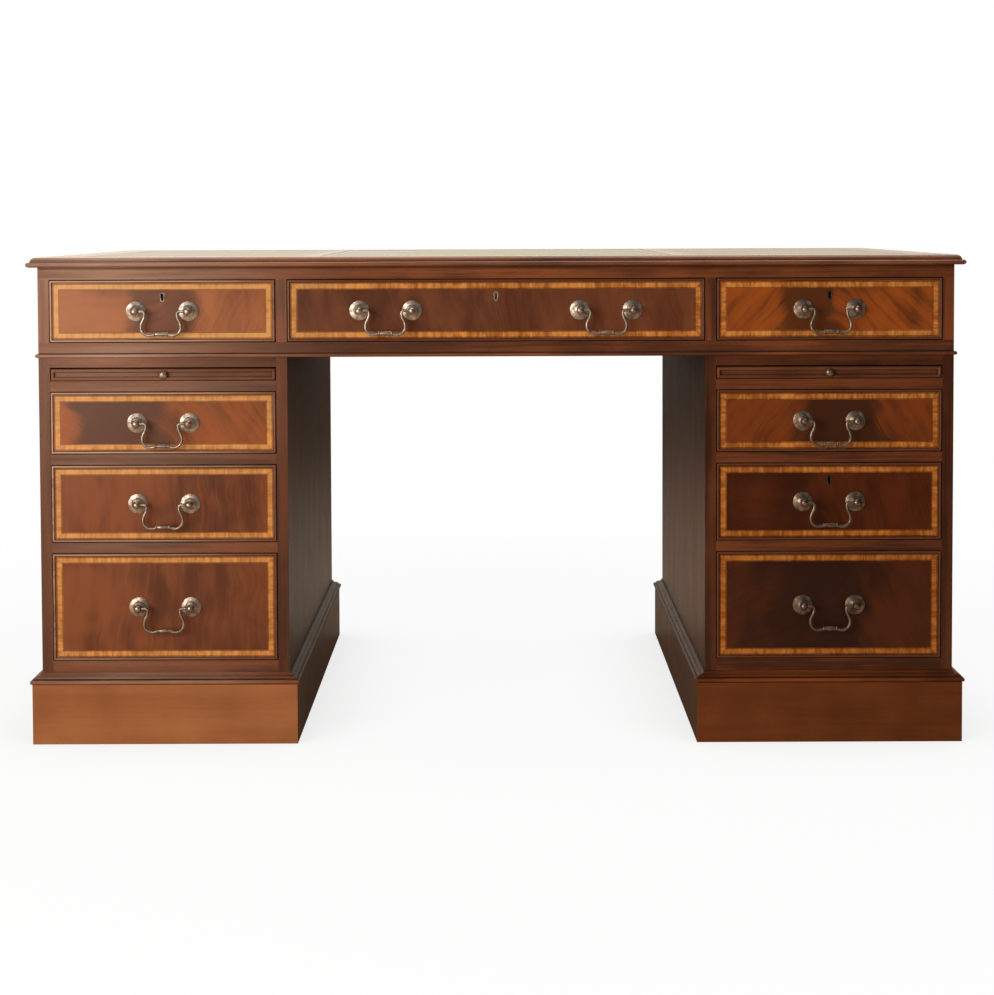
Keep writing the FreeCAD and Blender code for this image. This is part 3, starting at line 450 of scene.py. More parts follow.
def board_grain_group():
    """Colour, roughness and height of a plain board whose grain runs along the vector's X.

    Shade is a weighted sum of wide bands, narrow fibre lines and round mottle; pores are the peaks of
    a very long thin noise."""
    inputs = {"Vector": "Vector", "Light": "Color", "Dark": "Color", "Stripe": "Float", "Dull": "Float"}
    tree, given, result = shader_group("board_grain", inputs, WOOD_OUTPUTS)
    along = given["Vector"]
    bands = cloud(tree, moved(tree, along, BAND_STRETCH), 3.2, 3, 0.5, 0.3)
    fibres = cloud(tree, moved(tree, along, FIBRE_STRETCH), 5.0, 4, 0.6)
    mottle = cloud(tree, along, 15.0, 2)
    pores = ramp(tree, cloud(tree, moved(tree, along, PORE_STRETCH), 1.0, 1), *PORE_CUT)
    centred = [sums(tree, "SUBTRACT", value, 0.5) for value in (bands, fibres, mottle)]
    lines = weighted(tree, (centred[0], 1.7), (centred[1], 0.9))
    shade = weighted(tree, (times(tree, lines, given["Stripe"]), 1.0), (centred[2], 0.6))
    colour = tint(tree, ramp(tree, shade, *BOARD_SHADES), given["Dark"], given["Light"])
    colour = tint(tree, times(tree, pores, PORE_SHARE), colour, given["Dark"])
    rough = weighted(tree, (mottle, 0.16), (pores, 0.14), (given["Dull"], 1.0))
    give(tree, result, Color=colour, Roughness=rough,
         Height=weighted(tree, (fibres, 0.5), (pores, -0.5), (mottle, 0.4)))
    return tree


board_grain = board_grain_group()
print("group", board_grain.name)

# %% [markdown]
# ## Varnish, wear, dust and painted shade
# Every wood on the desk gets the same treatment over its grain: eased edges that are worn paler in places,
# dust and painted shade in the hollows, and what is left of the varnish. The varnish is not the same
# everywhere. It is glossy on the writing top, satin on the slides, rubbed dull on the rails and nearly gone
# from the plinths. Those constants go straight on the shader's sockets, and `polish` joins what changes
# over the surface.

# %% Varnish
WORN_WOOD = (0.34, 0.16, 0.075, 1)
BOARD_BUMP = 0.12 * MM
# colour of dust and of painted shade, laid into hollows, grooves and the shade masks below
SHADE_AND_DIRT_COLOUR = (0.03, 0.013, 0.006, 1)
SHADE_AND_DIRT_SHARE = 0.85
VARNISH = {"Coat Weight": 0.08, "Coat Roughness": 0.25, "Specular IOR Level": 0.16}
DULL_VARNISH = {"Coat Weight": 0.0, "Specular IOR Level": 0.07}
RUBBED_VARNISH = {"Coat Weight": 0.0, "Specular IOR Level": 0.24}
GLOSSY_VARNISH = {"Coat Weight": 0.3, "Coat Roughness": 0.1, "Specular IOR Level": 0.24}
SATIN_VARNISH = {"Coat Weight": 0.15, "Coat Roughness": 0.22, "Specular IOR Level": 0.2}


def new_finish(name, settings):
    """A material, its node tree and its shader, with constant settings on the shader's own sockets."""
    material = bpy.data.materials.new(name)
    material.use_nodes = True
    shader = material.node_tree.nodes["Principled BSDF"]
    for socket, value in settings.items():
        shader.inputs[socket].default_value = value
    return material, material.node_tree, shader


def raise_relief(tree, shader, height, distance, **normal):
    """Gives the shader a bump of a height times a distance, over a normal if there is one."""
    relief = put(tree, "Bump", {"Height": height, "Distance": distance, "Strength": 1.0, **normal})
    tree.links.new(relief.outputs["Normal"], shader.inputs["Normal"])


def polish(tree, shader, colour, roughness, height, worn):
    """Joins a wood's colour, roughness and relief to the shader, with worn edges, and hollows darkened by
    dust and painted shade.
    """
    edges = use(tree, softened_edges, Vector=here(tree))
    worn_through = tint(tree, edges["Wear"], colour, worn)
    # dust and painted shade in the hollows
    shaded_and_dusty = tint(tree, times(tree, edges["Dirt"], SHADE_AND_DIRT_SHARE), worn_through, SHADE_AND_DIRT_COLOUR)
    tree.links.new(shaded_and_dusty, shader.inputs["Base Color"])
    tree.links.new(roughness, shader.inputs["Roughness"])
    raise_relief(tree, shader, height, BOARD_BUMP, Normal=edges["Normal"])


def dress(material, *nodes):
    """Gives CAD nodes a finish."""
    for node in nodes:
        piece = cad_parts[node]
        if not piece.material_slots:
            piece.data.materials.append(material)
        for slot in piece.material_slots:
            slot.material = material


print("varnish is worn through to", WORN_WOOD[:3])

# %% [markdown]
# ## Fading and painted sheen, and beads
# The left end of the desk has stood nearer a window, so it is paler there, most of all high up: partly its
# varnish has gone paler and partly it is painted sheen from the window side. The share of this is a number
# from 0 to 1 that grows with the place, broken into streaks along the grain. Beads are treated by height,
# because every bead on the carcase is level: the crest is paler, worn by hands and dusters and with a
# painted highlight, and the groove over it is dark with wax and painted shade.

# %% Fading and beads
# pale colour towards the window: partly faded varnish, partly painted sheen
FADED_AND_SHEEN_WOOD = (0.46, 0.252, 0.162, 1)
FADE_AND_SHEEN_ACROSS = (-0.2, -0.75)  # metres from the middle; the fading and painted sheen grow between these towards the left end
FADE_AND_SHEEN_END = (-0.76, -0.6)  # though less at the very end, out of the light
FADE_AND_SHEEN_END_SHARE = 0.5
FADE_AND_SHEEN_UP = (0.1, 0.8)  # and between these heights, from a share to the whole
FADE_AND_SHEEN_LOW_SHARE = 0.3
FADE_AND_SHEEN_STRETCH = (1.3, 26, 26)
STREAK_CUT = (0.3, 0.7)
STREAK_SHARES = (0.45, 1.0)
# how much paler a bead's crest is: partly worn by hands, partly painted highlight
RUBBED_AND_HIGHLIGHT_GAIN = (1.35, 1.45, 1.6, 1)
QUIRK_HALF = 1.4 * MM  # half width of the dark line in the groove over a bead: wax and painted shade


def fade_and_sheen_share(tree, vector, end_share=FADE_AND_SHEEN_END_SHARE, across=FADE_AND_SHEEN_ACROSS):
    """Share of fading and painted sheen from the window side: it grows to the left and with height, in
    streaks along the grain of the vector.
    """
    x, y, z = parts(tree, here(tree))
    streaks = cloud(tree, moved(tree, vector, FADE_AND_SHEEN_STRETCH), 3.0, 3, 0.6)
    # fading and painted sheen: more to the left and higher up
    return times(tree, ramp(tree, x, *across), ramp(tree, z, *FADE_AND_SHEEN_UP, FADE_AND_SHEEN_LOW_SHARE, 1.0),
                 ramp(tree, x, *FADE_AND_SHEEN_END, end_share, 1.0), ramp(tree, streaks, *STREAK_CUT, *STREAK_SHARES))


def level_line(tree, middle, half):
    """1 along a height, 0 beyond half a width from it."""
    return ramp(tree, off(tree, parts(tree, here(tree))[2], middle), half, half * 0.2)


def bead_tone(tree, colour, foot, height, gain):
    """Paler along the crest of a bead, worn by hands and with a painted highlight, and dark in the groove
    over it, with wax and painted shade.
    """
    # painted highlight, and wear, along the crest
    lightened = tint(tree, level_line(tree, foot + height / 2, height / 2), colour, gain, "MULTIPLY")
    # painted shade, and wax, in the groove over the bead
    return tint(tree, level_line(tree, foot + height + QUIRK_HALF / 3, QUIRK_HALF), lightened, SHADE_AND_DIRT_COLOUR)


print("fading runs from x", FADE_AND_SHEEN_ACROSS[0], "to", FADE_AND_SHEEN_ACROSS[1])

# %% [markdown]
# ## A board's finish
# Which way the grain runs is a choice of the maker: up the stiles and sides, along the rails and round the
# top. So a finish is given a function that says it, place by place, and `grain_along` turns the coordinates
# so that the grain group's X lies along the board. The offset slides them, so that no two boards are cut
# from the same plank.

# %% Board finish
QUARTER = math.pi / 2
GRAIN_TURNS = {"X": (0, 0, 0), "Y": (0, 0, QUARTER), "Z": (0, QUARTER, 0)}
SIDEWAYS = 0.7  # the X of a normal, beyond which a face counts as turned to the side


def grain_along(tree, axis, offset):
    """Object coordinates turned so that X runs along an axis, and slid so that boards differ."""
    return moved(tree, here(tree), place=(offset, offset * 0.7, offset * 0.4), turn=GRAIN_TURNS[axis])


def plain_grain(axis, offset):
    """Grain that runs along one axis all over a piece."""
    return lambda tree: grain_along(tree, axis, offset)


def turned_sideways(tree):
    """1 on faces that look along X."""
    return sums(tree, "GREATER_THAN", off(tree, facing(tree)[0]), SIDEWAYS)


def board_finish(name, light, dark, vector_of, stripe=1.0, dull=0.3, fade_and_sheen_strength=0.0, fade_and_sheen_colour=FADED_AND_SHEEN_WOOD,
                 bead=None, shade_of=None, worn=WORN_WOOD, settings=VARNISH):
    """Finish of plain boards.

    vector_of gives the grain vector in a tree, dull is the least roughness, and fade_and_sheen_strength is
    how pale the left end is, by fading and painted sheen. bead is the foot and height of a bead and how much
    paler its crest is, worn and with a painted highlight. shade_of gives a mask of darker places, painted
    shade among them."""
    material, tree, shader = new_finish(name, settings)
    vector = vector_of(tree)
    grain = use(tree, board_grain, Vector=vector, Light=light, Dark=dark, Stripe=stripe, Dull=dull)
    # fading and painted sheen towards the window side
    colour = tint(tree, times(tree, fade_and_sheen_share(tree, vector), fade_and_sheen_strength), grain["Color"], fade_and_sheen_colour)
    if bead:
        colour = bead_tone(tree, colour, *bead)
    if shade_of:
        # darker places of the mask: painted shade, and dust
        colour = tint(tree, shade_of(tree), colour, SHADE_AND_DIRT_COLOUR)
    polish(tree, shader, colour, grain["Roughness"], grain["Height"], worn)
    return material


print("grain can run along", sorted(GRAIN_TURNS))

# %% [markdown]
# ## Pedestals
# A pedestal's sides are upright boards, and their front edges are the stiles. The rails and the pull-out
# slide lie across between them. The kneehole is the dark place of the desk: the right side turns away from
# the window and light hardly reaches it high up, and on both sides the corner over the plinth moulding is
# darker. Both are painted shade, and one mask covers both.

# %% Pedestal finishes
PEDESTAL_SIDES = ("left", "right")
CARCASE_LIGHT = (0.14, 0.039, 0.012, 1)
CARCASE_DARK = (0.044, 0.0115, 0.004, 1)
RAIL_LIGHT = (0.2, 0.049, 0.0105, 1)
RAIL_DARK = (0.062, 0.0145, 0.0038, 1)
SLIDE_LIGHT = (0.21, 0.064, 0.022, 1)
SLIDE_DARK = (0.085, 0.024, 0.0085, 1)
# pale colour of the carcase at the left end: fading and painted sheen
STILE_FADED_AND_SHEEN = (0.62, 0.26, 0.125, 1)
RAIL_PLANK = {"left": 1.3, "right": 2.9}  # offsets along the plank
SLIDE_PLANK = {"left": 1.9, "right": 3.5}
KNEEHOLE_SHADE = 0.95  # painted shade, high up on the right side
KNEEHOLE_UP = (0.33, 0.6)  # metres, between which it grows
LEDGE_SHADE = 0.7  # painted shade in the corner over the mouldings
LEDGE_REACH = (22 * MM, 2 * MM)  # over the moulding's top, where it begins and is whole
moulding_low, moulding_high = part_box("plinth_mouldings")


def pedestal_grain(tree):
    """Upright grain, but along X on the top board over the slide."""
    low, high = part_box("left_slide_board")
    x, y, z = parts(tree, here(tree))
    off_centre = off(tree, off(tree, x), -(low.x + high.x) / 2)
    inside = sums(tree, "LESS_THAN", off_centre, (high.x - low.x) / 2 + 1 * MM)
    over = sums(tree, "GREATER_THAN", z, high.z + 1 * MM)
    return either(tree, times(tree, inside, over), grain_along(tree, "Z", 0.4), grain_along(tree, "X", 5.1))


def kneehole_shade(tree):
    """Painted shade in the kneehole: high up on the right side, and on both sides in the corner over the
    mouldings.
    """
    x, y, z = parts(tree, here(tree))
    inside = put(tree, "Math", {0: off(tree, x), 1: HALF_KNEEHOLE, 2: 1 * MM}, operation="COMPARE").outputs[0]
    on_right = sums(tree, "GREATER_THAN", x, 0.0)
    high = times(tree, on_right, ramp(tree, z, *KNEEHOLE_UP, 0.0, KNEEHOLE_SHADE))
    low = ramp(tree, z, *[moulding_high.z + reach for reach in LEDGE_REACH], 0.0, LEDGE_SHADE)
    return times(tree, inside, turned_sideways(tree), sums(tree, "MAXIMUM", high, low))


carcase_finish = board_finish("carcase_mahogany", CARCASE_LIGHT, CARCASE_DARK, pedestal_grain, stripe=0.75,
                              fade_and_sheen_strength=0.52, fade_and_sheen_colour=STILE_FADED_AND_SHEEN, shade_of=kneehole_shade)
for side in PEDESTAL_SIDES:
    rail_finish = board_finish(side + "_rail_mahogany", RAIL_LIGHT, RAIL_DARK,
                               plain_grain("X", RAIL_PLANK[side]), stripe=1.4, dull=0.42, fade_and_sheen_strength=0.8,
                               settings=RUBBED_VARNISH)
    slide_finish = board_finish(side + "_slide_mahogany", SLIDE_LIGHT, SLIDE_DARK,
                                plain_grain("X", SLIDE_PLANK[side]), dull=0.36, fade_and_sheen_strength=0.3,
                                settings=SATIN_VARNISH)
    dress(carcase_finish, side + "_pedestal_carcase")
    dress(rail_finish, side + "_pedestal_rails")
    dress(slide_finish, side + "_slide_board")
print("pedestals", [m.name for m in bpy.data.materials if "mahogany" in m.name])

# %% [markdown]
# ## The frieze
# The frieze is the frame round the three drawers under the top. Its rails lie along the front, its ends run
# back, and the short muntins between the drawers stand upright. A half-round bead runs along its foot. Under
# the overhanging top there is painted shadow, and the lower rail's left part and the wood from the first
# muntin rightwards are a little darker.

# %% Frieze finish
FRIEZE_LIGHT = (0.27, 0.069, 0.014, 1)
FRIEZE_DARK = (0.088, 0.021, 0.005, 1)
FRIEZE_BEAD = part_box("frieze_frame")[0].z, 6 * MM, RUBBED_AND_HIGHLIGHT_GAIN
UNDER_TOP = (7 * MM, 1 * MM)  # below the top, where its painted shadow begins and is whole
UNDER_TOP_SHADE = 0.6
LOWER_RAIL_SHADE = 0.22
LOWER_RAIL_ACROSS = (-0.3, -0.45)  # metres; only the paler left part of that rail shows it
MUNTIN_SHADE = 0.16  # from the first muntin to the right end, below the upper rail


def frieze_grain(tree):
    """Grain along the front and back rails, along the ends, and upright on the muntins."""
    low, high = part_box("frieze_left_drawer_front")
    next_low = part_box("frieze_centre_drawer_front")[0]
    x, y, z = parts(tree, here(tree))
    on_end = turned_sideways(tree)
    across = off(tree, x)
    between = within(tree, across, -next_low.x, -high.x)
    outside = sums(tree, "SUBTRACT", sums(tree, "GREATER_THAN", across, -low.x), on_end)
    level = within(tree, z, low.z - 1 * MM, high.z + 1 * MM)
    upright = times(tree, sums(tree, "MAXIMUM", between, outside), level)
    lying = either(tree, on_end, grain_along(tree, "X", 3.3), grain_along(tree, "Y", 7.7))
    return either(tree, upright, lying, grain_along(tree, "Z", 4.6))


def frieze_shade(tree):
    """Painted shadow under the top's edge, and darker on the lower rail's left part and a little to the
    right of that.
    """
    low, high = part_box("frieze_left_drawer_front")
    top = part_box("frieze_frame")[1].z
    x, y, z = parts(tree, here(tree))
    muntin = times(tree, sums(tree, "GREATER_THAN", x, high.x), sums(tree, "LESS_THAN", z, high.z),
                   MUNTIN_SHADE)
    lower = times(tree, ramp(tree, z, low.z + 1 * MM, low.z - 3 * MM, 0.0, LOWER_RAIL_SHADE),
                  ramp(tree, x, *LOWER_RAIL_ACROSS))
    # painted shadow under the top's edge
    under_top = ramp(tree, z, *[top - reach for reach in UNDER_TOP], 0.0, UNDER_TOP_SHADE)
    return sums(tree, "MAXIMUM", sums(tree, "MAXIMUM", muntin, lower), under_top)


frieze_finish = board_finish("frieze_mahogany", FRIEZE_LIGHT, FRIEZE_DARK, frieze_grain, stripe=1.4,
                             dull=0.42, fade_and_sheen_strength=1.2, bead=FRIEZE_BEAD, shade_of=frieze_shade,
                             settings=RUBBED_VARNISH)
dress(frieze_finish, "frieze_frame")
print("frieze", frieze_finish.name)

# %% [markdown]
# ## Plinths and mouldings
# The plinths are mitred boards that feet and brooms have rubbed bare of polish. The left one is paler,
# partly in its wood and partly painted light from the window side. A mitred moulding sits on top of each,
# with a bead along its lower edge. Both go round the pedestal, so their grain follows whichever way a face
# looks. Where they face the kneehole they have painted shade, as the sides over them have.

# %% Plinth finishes
# the left plinth is paler partly in its wood and partly by painted light from the window side
PLINTH_LIGHT = {"left": (0.43, 0.158, 0.057, 1), "right": (0.212, 0.057, 0.0155, 1)}
PLINTH_DARK = {"left": (0.28, 0.091, 0.032, 1), "right": (0.112, 0.029, 0.0084, 1)}
PLINTH_SIDE_SHADE = 0.6
PLINTH_OUTWARDS = (-0.6, -0.8)  # a normal's X away from the middle, where the shade begins and is whole
MOULDING_LIGHT = (0.165, 0.04, 0.0085, 1)
MOULDING_DARK = (0.056, 0.0135, 0.0034, 1)
# the last value is how much paler the bead's crest is: partly wear, partly painted highlight
MOULDING_BEAD = moulding_low.z + 0.6 * MM, 7.6 * MM, (1.7, 1.75, 1.8, 1)
MOULDING_SIDE_SHADE = 0.75
MOULDING_FRONT = 0.3  # the Y of a normal, beyond which a face belongs to the front or back run


def plinth_grain(tree):
    """Grain along X on the front and back boards, and along Y on the side boards."""
    return either(tree, turned_sideways(tree), grain_along(tree, "X", 1.0), grain_along(tree, "Y", 2.0))


def plinth_shade(tree):
    """Painted shade on the plinth boards that face the kneehole."""
    outwards = times(tree, facing(tree)[0], sums(tree, "SIGN", parts(tree, here(tree))[0]))
    return ramp(tree, outwards, *PLINTH_OUTWARDS, 0.0, PLINTH_SIDE_SHADE)


def moulding_shade(tree):
    """Painted shade on the runs of the moulding in the kneehole: the ones inside it that don't face the
    front or back.
    """
    inside = sums(tree, "LESS_THAN", off(tree, parts(tree, here(tree))[0]), HALF_KNEEHOLE)
    side_run = sums(tree, "LESS_THAN", off(tree, facing(tree)[1]), MOULDING_FRONT)
    return times(tree, inside, side_run, MOULDING_SIDE_SHADE)


for side in PEDESTAL_SIDES:
    plinth_finish = board_finish(side + "_plinth_mahogany", PLINTH_LIGHT[side], PLINTH_DARK[side],
                                 plinth_grain, stripe=0.4, shade_of=plinth_shade, settings=DULL_VARNISH)
    dress(plinth_finish, side + "_plinth")
moulding_finish = board_finish("moulding_mahogany", MOULDING_LIGHT, MOULDING_DARK, frieze_grain, dull=0.36,
                               fade_and_sheen_strength=2.4, bead=MOULDING_BEAD, shade_of=moulding_shade, settings=DULL_VARNISH)
dress(moulding_finish, "plinth_mouldings")
print("plinths", len(PLINTH_LIGHT), "and", moulding_finish.name)

# %% [markdown]
# ## The writing top
# The wood round the leather is laid like a picture frame: grain along each side, mitred at the corners, and
# strips from front to back between the panels. The mitre is where the distances to the two nearest edges
# are equal, so the material needs only those distances to choose a direction. The flat of the top has kept
# more polish than its moulded edge, so the coat follows how far a face looks up.

# %% Top finish
TOP_LIGHT = (0.27, 0.08, 0.023, 1)
TOP_DARK = (0.1, 0.026, 0.0075, 1)
FLAT_FACING = (0.5, 0.95)  # the Z of a normal, from the edge's coat to the flat's
FLAT_COAT = 1.0
top_low, top_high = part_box("top_edging")
leather_low, leather_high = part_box("leather_panels")
TOP_BEAD = top_low.z + 0.5 * MM, 7.5 * MM, RUBBED_AND_HIGHLIGHT_GAIN


def mitred_grain(tree):
    """Grain along X by the front and back edges, along Y by the ends and between the panels."""
    x, y, z = parts(tree, here(tree))
    to_end = sums(tree, "SUBTRACT", top_high.x, off(tree, x))
    reach = off(tree, y)
    by_end = sums(tree, "LESS_THAN", to_end, sums(tree, "SUBTRACT", top_high.y, reach))
    by_panel = sums(tree, "LESS_THAN", reach, leather_high.y)
    return either(tree, sums(tree, "MAXIMUM", by_end, by_panel), grain_along(tree, "X", 8.2),
                  grain_along(tree, "Y", 6.3))


top_finish = board_finish("top_mahogany", TOP_LIGHT, TOP_DARK, mitred_grain, stripe=0.8, dull=0.34,
                          fade_and_sheen_strength=0.7, bead=TOP_BEAD, settings=GLOSSY_VARNISH)
top_tree = top_finish.node_tree
coat = ramp(top_tree, facing(top_tree)[2], *FLAT_FACING, GLOSSY_VARNISH["Coat Weight"], FLAT_COAT)
top_tree.links.new(coat, top_tree.nodes["Principled BSDF"].inputs["Coat Weight"])
dress(top_finish, "desk_top", "top_edging")
print("top", top_finish.name)

# %% [markdown]
# ## Drawer linings and runners
# Inside, where no one looks, the wood is plain and pale: quarter-sawn oak for the drawer sides and bottoms,
# and softwood for the runners. It was never varnished, so it is rough and has no coat.

# %% Linings
LINING_LIGHT = (0.5, 0.33, 0.17, 1)
LINING_DARK = (0.33, 0.2, 0.095, 1)
RUNNER_LIGHT = (0.47, 0.3, 0.15, 1)
RUNNER_DARK = (0.3, 0.17, 0.08, 1)
BARE_WOOD = {"Coat Weight": 0.0, "Specular IOR Level": 0.3}
lining_finish = board_finish("drawer_lining", LINING_LIGHT, LINING_DARK, plain_grain("Y", 1.7), stripe=0.7,
                             worn=LINING_LIGHT, settings=BARE_WOOD)
runner_finish = board_finish("runner_wood", RUNNER_LIGHT, RUNNER_DARK, plain_grain("Y", 9.1), stripe=1.2,
                             worn=RUNNER_LIGHT, settings=BARE_WOOD)
boxes = [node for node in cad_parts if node.endswith("_drawer_box")]
dress(lining_finish, *boxes)
dress(runner_finish, "frieze_runners", "locating_pegs", "left_pedestal_runners", "right_pedestal_runners")
print("linings on", len(boxes), "drawers")

# %% [markdown]
# ## Flame veneer
# The drawer fronts are faced with figured mahogany, sawn where a branch leaves the trunk. Its fibres fan
# out, so streaks of light and dark lean to both sides of a darker heart, like a plume. The group bends the
# coordinate across the streaks: it leans with height, and a share of it is mirrored about the middle of the
# drawer. A soft mottle lies over the streaks, and one pale patch may light up a part of the leaf. Every
# drawer then has its own lean, heart, patch and colours, as every leaf of veneer has.

# %% Veneer group
PLUME_CORE = 0.02  # metres; the mirrored arms meet in a curve of about this width
STREAK_RATE = (46, 6)  # noise per metre, across the streaks and up
VENEER_FIBRE_RATE = (300, 14)
MOTTLE_RATE = (21, 21, 12)
STREAK_WARP = 0.035  # metres that the streaks wander
HEART_WARP = 0.09
HEART_EDGE = (1.3, 0.35)  # of the heart's width, where it begins and is whole
PATCH_EDGE = (0.07, 0.03)  # metres from the patch's middle, likewise
VENEER_SHADES = (-0.5, 0.5)  # of the summed noise, from the dark colour to the light one
BRIGHT_SHADES = (0.5, 1.1)  # and from the light one to its brightest
BRIGHT_GAIN = (1.6, 1.35, 1.2, 1)


def flame_veneer_group():
    """Colour, roughness and height of figured veneer, on coordinates about a drawer's middle.

    Across = x mixed with the root of x squared plus core squared, plus lean times z, plus a soft warp.
    Streaks are noise that is fast in that number and slow in z; the heart is a dark bell about its own
    place, and the patch a light one about a point."""
    inputs = {"Vector": "Vector", "Light": "Color", "Dark": "Color", "Lean": "Float", "Plume": "Float",
              "Streak": "Float", "Heart": "Float", "Heart Place": "Float", "Heart Width": "Float",
              "Patch": "Float", "Patch Place": "Vector"}
    tree, given, result = shader_group("flame_veneer", inputs, WOOD_OUTPUTS)
    vector = given["Vector"]
    x, y, z = parts(tree, vector)
    warp = sums(tree, "SUBTRACT", cloud(tree, vector, 11, 2), 0.5)
    arms = sums(tree, "POWER", sums(tree, "ADD", times(tree, x, x), PLUME_CORE ** 2), 0.5)
    plain = sums(tree, "SUBTRACT", 1.0, given["Plume"])
    across = sums(tree, "ADD", times(tree, x, plain), times(tree, arms, given["Plume"]))
    leaning = sums(tree, "ADD", across, times(tree, z, given["Lean"]))
    bent = weighted(tree, (leaning, 1.0), (warp, STREAK_WARP))

    def figure(rate, *kind):
        return cloud(tree, joined(tree, times(tree, bent, rate[0]), y, times(tree, z, rate[1])), 1.0, *kind)
    streaks = figure(STREAK_RATE, 3, 0.6)
    fibres = figure(VENEER_FIBRE_RATE, 2)
    mottle = cloud(tree, moved(tree, vector, MOTTLE_RATE), 1.0, 3, 0.48, 0.3)
    distance = off(tree, weighted(tree, (x, 1.0), (given["Heart Place"], -1.0), (warp, HEART_WARP)))
    heart = ramp(tree, sums(tree, "DIVIDE", distance, given["Heart Width"]), *HEART_EDGE)
    from_patch = put(tree, "VectorMath", {0: vector, 1: given["Patch Place"]}, operation="SUBTRACT")
    flat = length(tree, moved(tree, from_patch.outputs[0], (1, 0, 1)))
    ragged = weighted(tree, (flat, 1.0), (warp, 0.12), (mottle, 0.06), (1.0, -0.03))
    patch = ramp(tree, ragged, *PATCH_EDGE)
    centred = [sums(tree, "SUBTRACT", value, 0.5) for value in (streaks, fibres, mottle)]
    shade = weighted(tree, (times(tree, centred[0], given["Streak"]), 2.2), (centred[1], 0.45),
                     (centred[2], 1.45), (times(tree, heart, given["Heart"]), -0.8),
                     (times(tree, patch, given["Patch"]), 1.0), (1.0, 0.16))
    colour = tint(tree, ramp(tree, shade, *VENEER_SHADES), given["Dark"], given["Light"])
    bright = tint(tree, 1.0, given["Light"], BRIGHT_GAIN, "MULTIPLY")
    colour = tint(tree, ramp(tree, shade, *BRIGHT_SHADES), colour, bright)
    give(tree, result, Color=colour, Roughness=weighted(tree, (mottle, 0.14), (1.0, 0.27)),
         Height=weighted(tree, (fibres, 0.3), (mottle, 0.3)))
    return tree


flame_veneer = flame_veneer_group()
print("group", flame_veneer.name)

# %% [markdown]
# ## Cockbead and crossbanding
# Round each front runs a thin raised cockbead, then a narrow margin, then a strip of golden satinwood
# between two darker lines, let in with its grain across the strip. All of them follow the front's edge, so
# one number says which is which: the distance from the nearest edge. The strip's grain runs up where the
# nearest edge is above or below, and sideways where it is left or right, and a fine line shows where two
# strips meet in a mitre. Cut across the grain, the wood shows as short ticks of light and dark, which are
# three noises of different pace added up.

# %% Inlay group
BEAD_WIDTH = 3.6 * MM
CREST_HALF = 0.5 * MM
BAND_START = 5.0 * MM
BAND_END = 15.8 * MM
LINE_WIDTH = 1.9 * MM
LINE_SOFT = 0.25 * MM
MITRE_EDGE = (0.5 * MM, 0.2 * MM)
MITRE_SHARE = 0.35
FINE_RATE = (420, 70)  # noise per metre, along the strip and across it
TICK_RATE = (150, 40)
LEAF_RATE = (34, 30)


def inlaid_frame_group():
    """Masks of the bead, the band and its lines, and the band's own light and dark.

    Edge = the lesser of half width minus the distance across and half height minus the distance up.
    Each mask is a smooth step in edge."""
    tree, given, result = shader_group(
        "inlaid_frame", {"Vector": "Vector", "Half Width": "Float", "Half Height": "Float"},
        {"Bead": "Float", "Crest": "Float", "Band": "Float", "Line": "Float", "Fleck": "Float"})
    x, y, z = parts(tree, given["Vector"])
    to_side = sums(tree, "SUBTRACT", given["Half Width"], off(tree, x))
    to_top = sums(tree, "SUBTRACT", given["Half Height"], off(tree, z))
    edge = sums(tree, "MINIMUM", to_side, to_top)

    def step(place, soft=LINE_SOFT):
        return ramp(tree, edge, place - soft, place + soft)

    def strip(start, end):
        return times(tree, step(start), step(end, -LINE_SOFT))
    band = strip(BAND_START, BAND_END)
    core = strip(BAND_START + LINE_WIDTH, BAND_END - LINE_WIDTH)
    lying = sums(tree, "LESS_THAN", to_top, to_side)
    upright = sums(tree, "SUBTRACT", 1.0, lying)
    along = sums(tree, "ADD", times(tree, x, lying), times(tree, z, upright))

    def ticks(rate, detail):
        paced = joined(tree, times(tree, along, rate[0]), times(tree, edge, rate[1]), y)
        return cloud(tree, paced, 1.0, detail)
    fleck = weighted(tree, (ticks(FINE_RATE, 2), 0.5), (ticks(TICK_RATE, 1), 0.6),
                     (ticks(LEAF_RATE, 3), 0.75), (1.0, -0.425))
    mitre = ramp(tree, off(tree, to_side, to_top), *MITRE_EDGE, 0.0, MITRE_SHARE)
    line = sums(tree, "MAXIMUM", sums(tree, "SUBTRACT", band, core), times(tree, band, mitre))
    crest = ramp(tree, off(tree, edge, BEAD_WIDTH / 2), BEAD_WIDTH / 2, CREST_HALF)
    give(tree, result, Bead=step(BEAD_WIDTH, -LINE_SOFT), Crest=crest, Band=band, Line=line, Fleck=fleck)
    return tree


inlaid_frame = inlaid_frame_group()
print("group", inlaid_frame.name)

# %% [markdown]
# ## The nine fronts
# No two leaves of veneer are alike, so the nine fronts share a group and not a look. The values below were
# chosen drawer by drawer: how warm the veneer is, how dark its heart, which way the streaks lean, and
# where a pale patch lies.

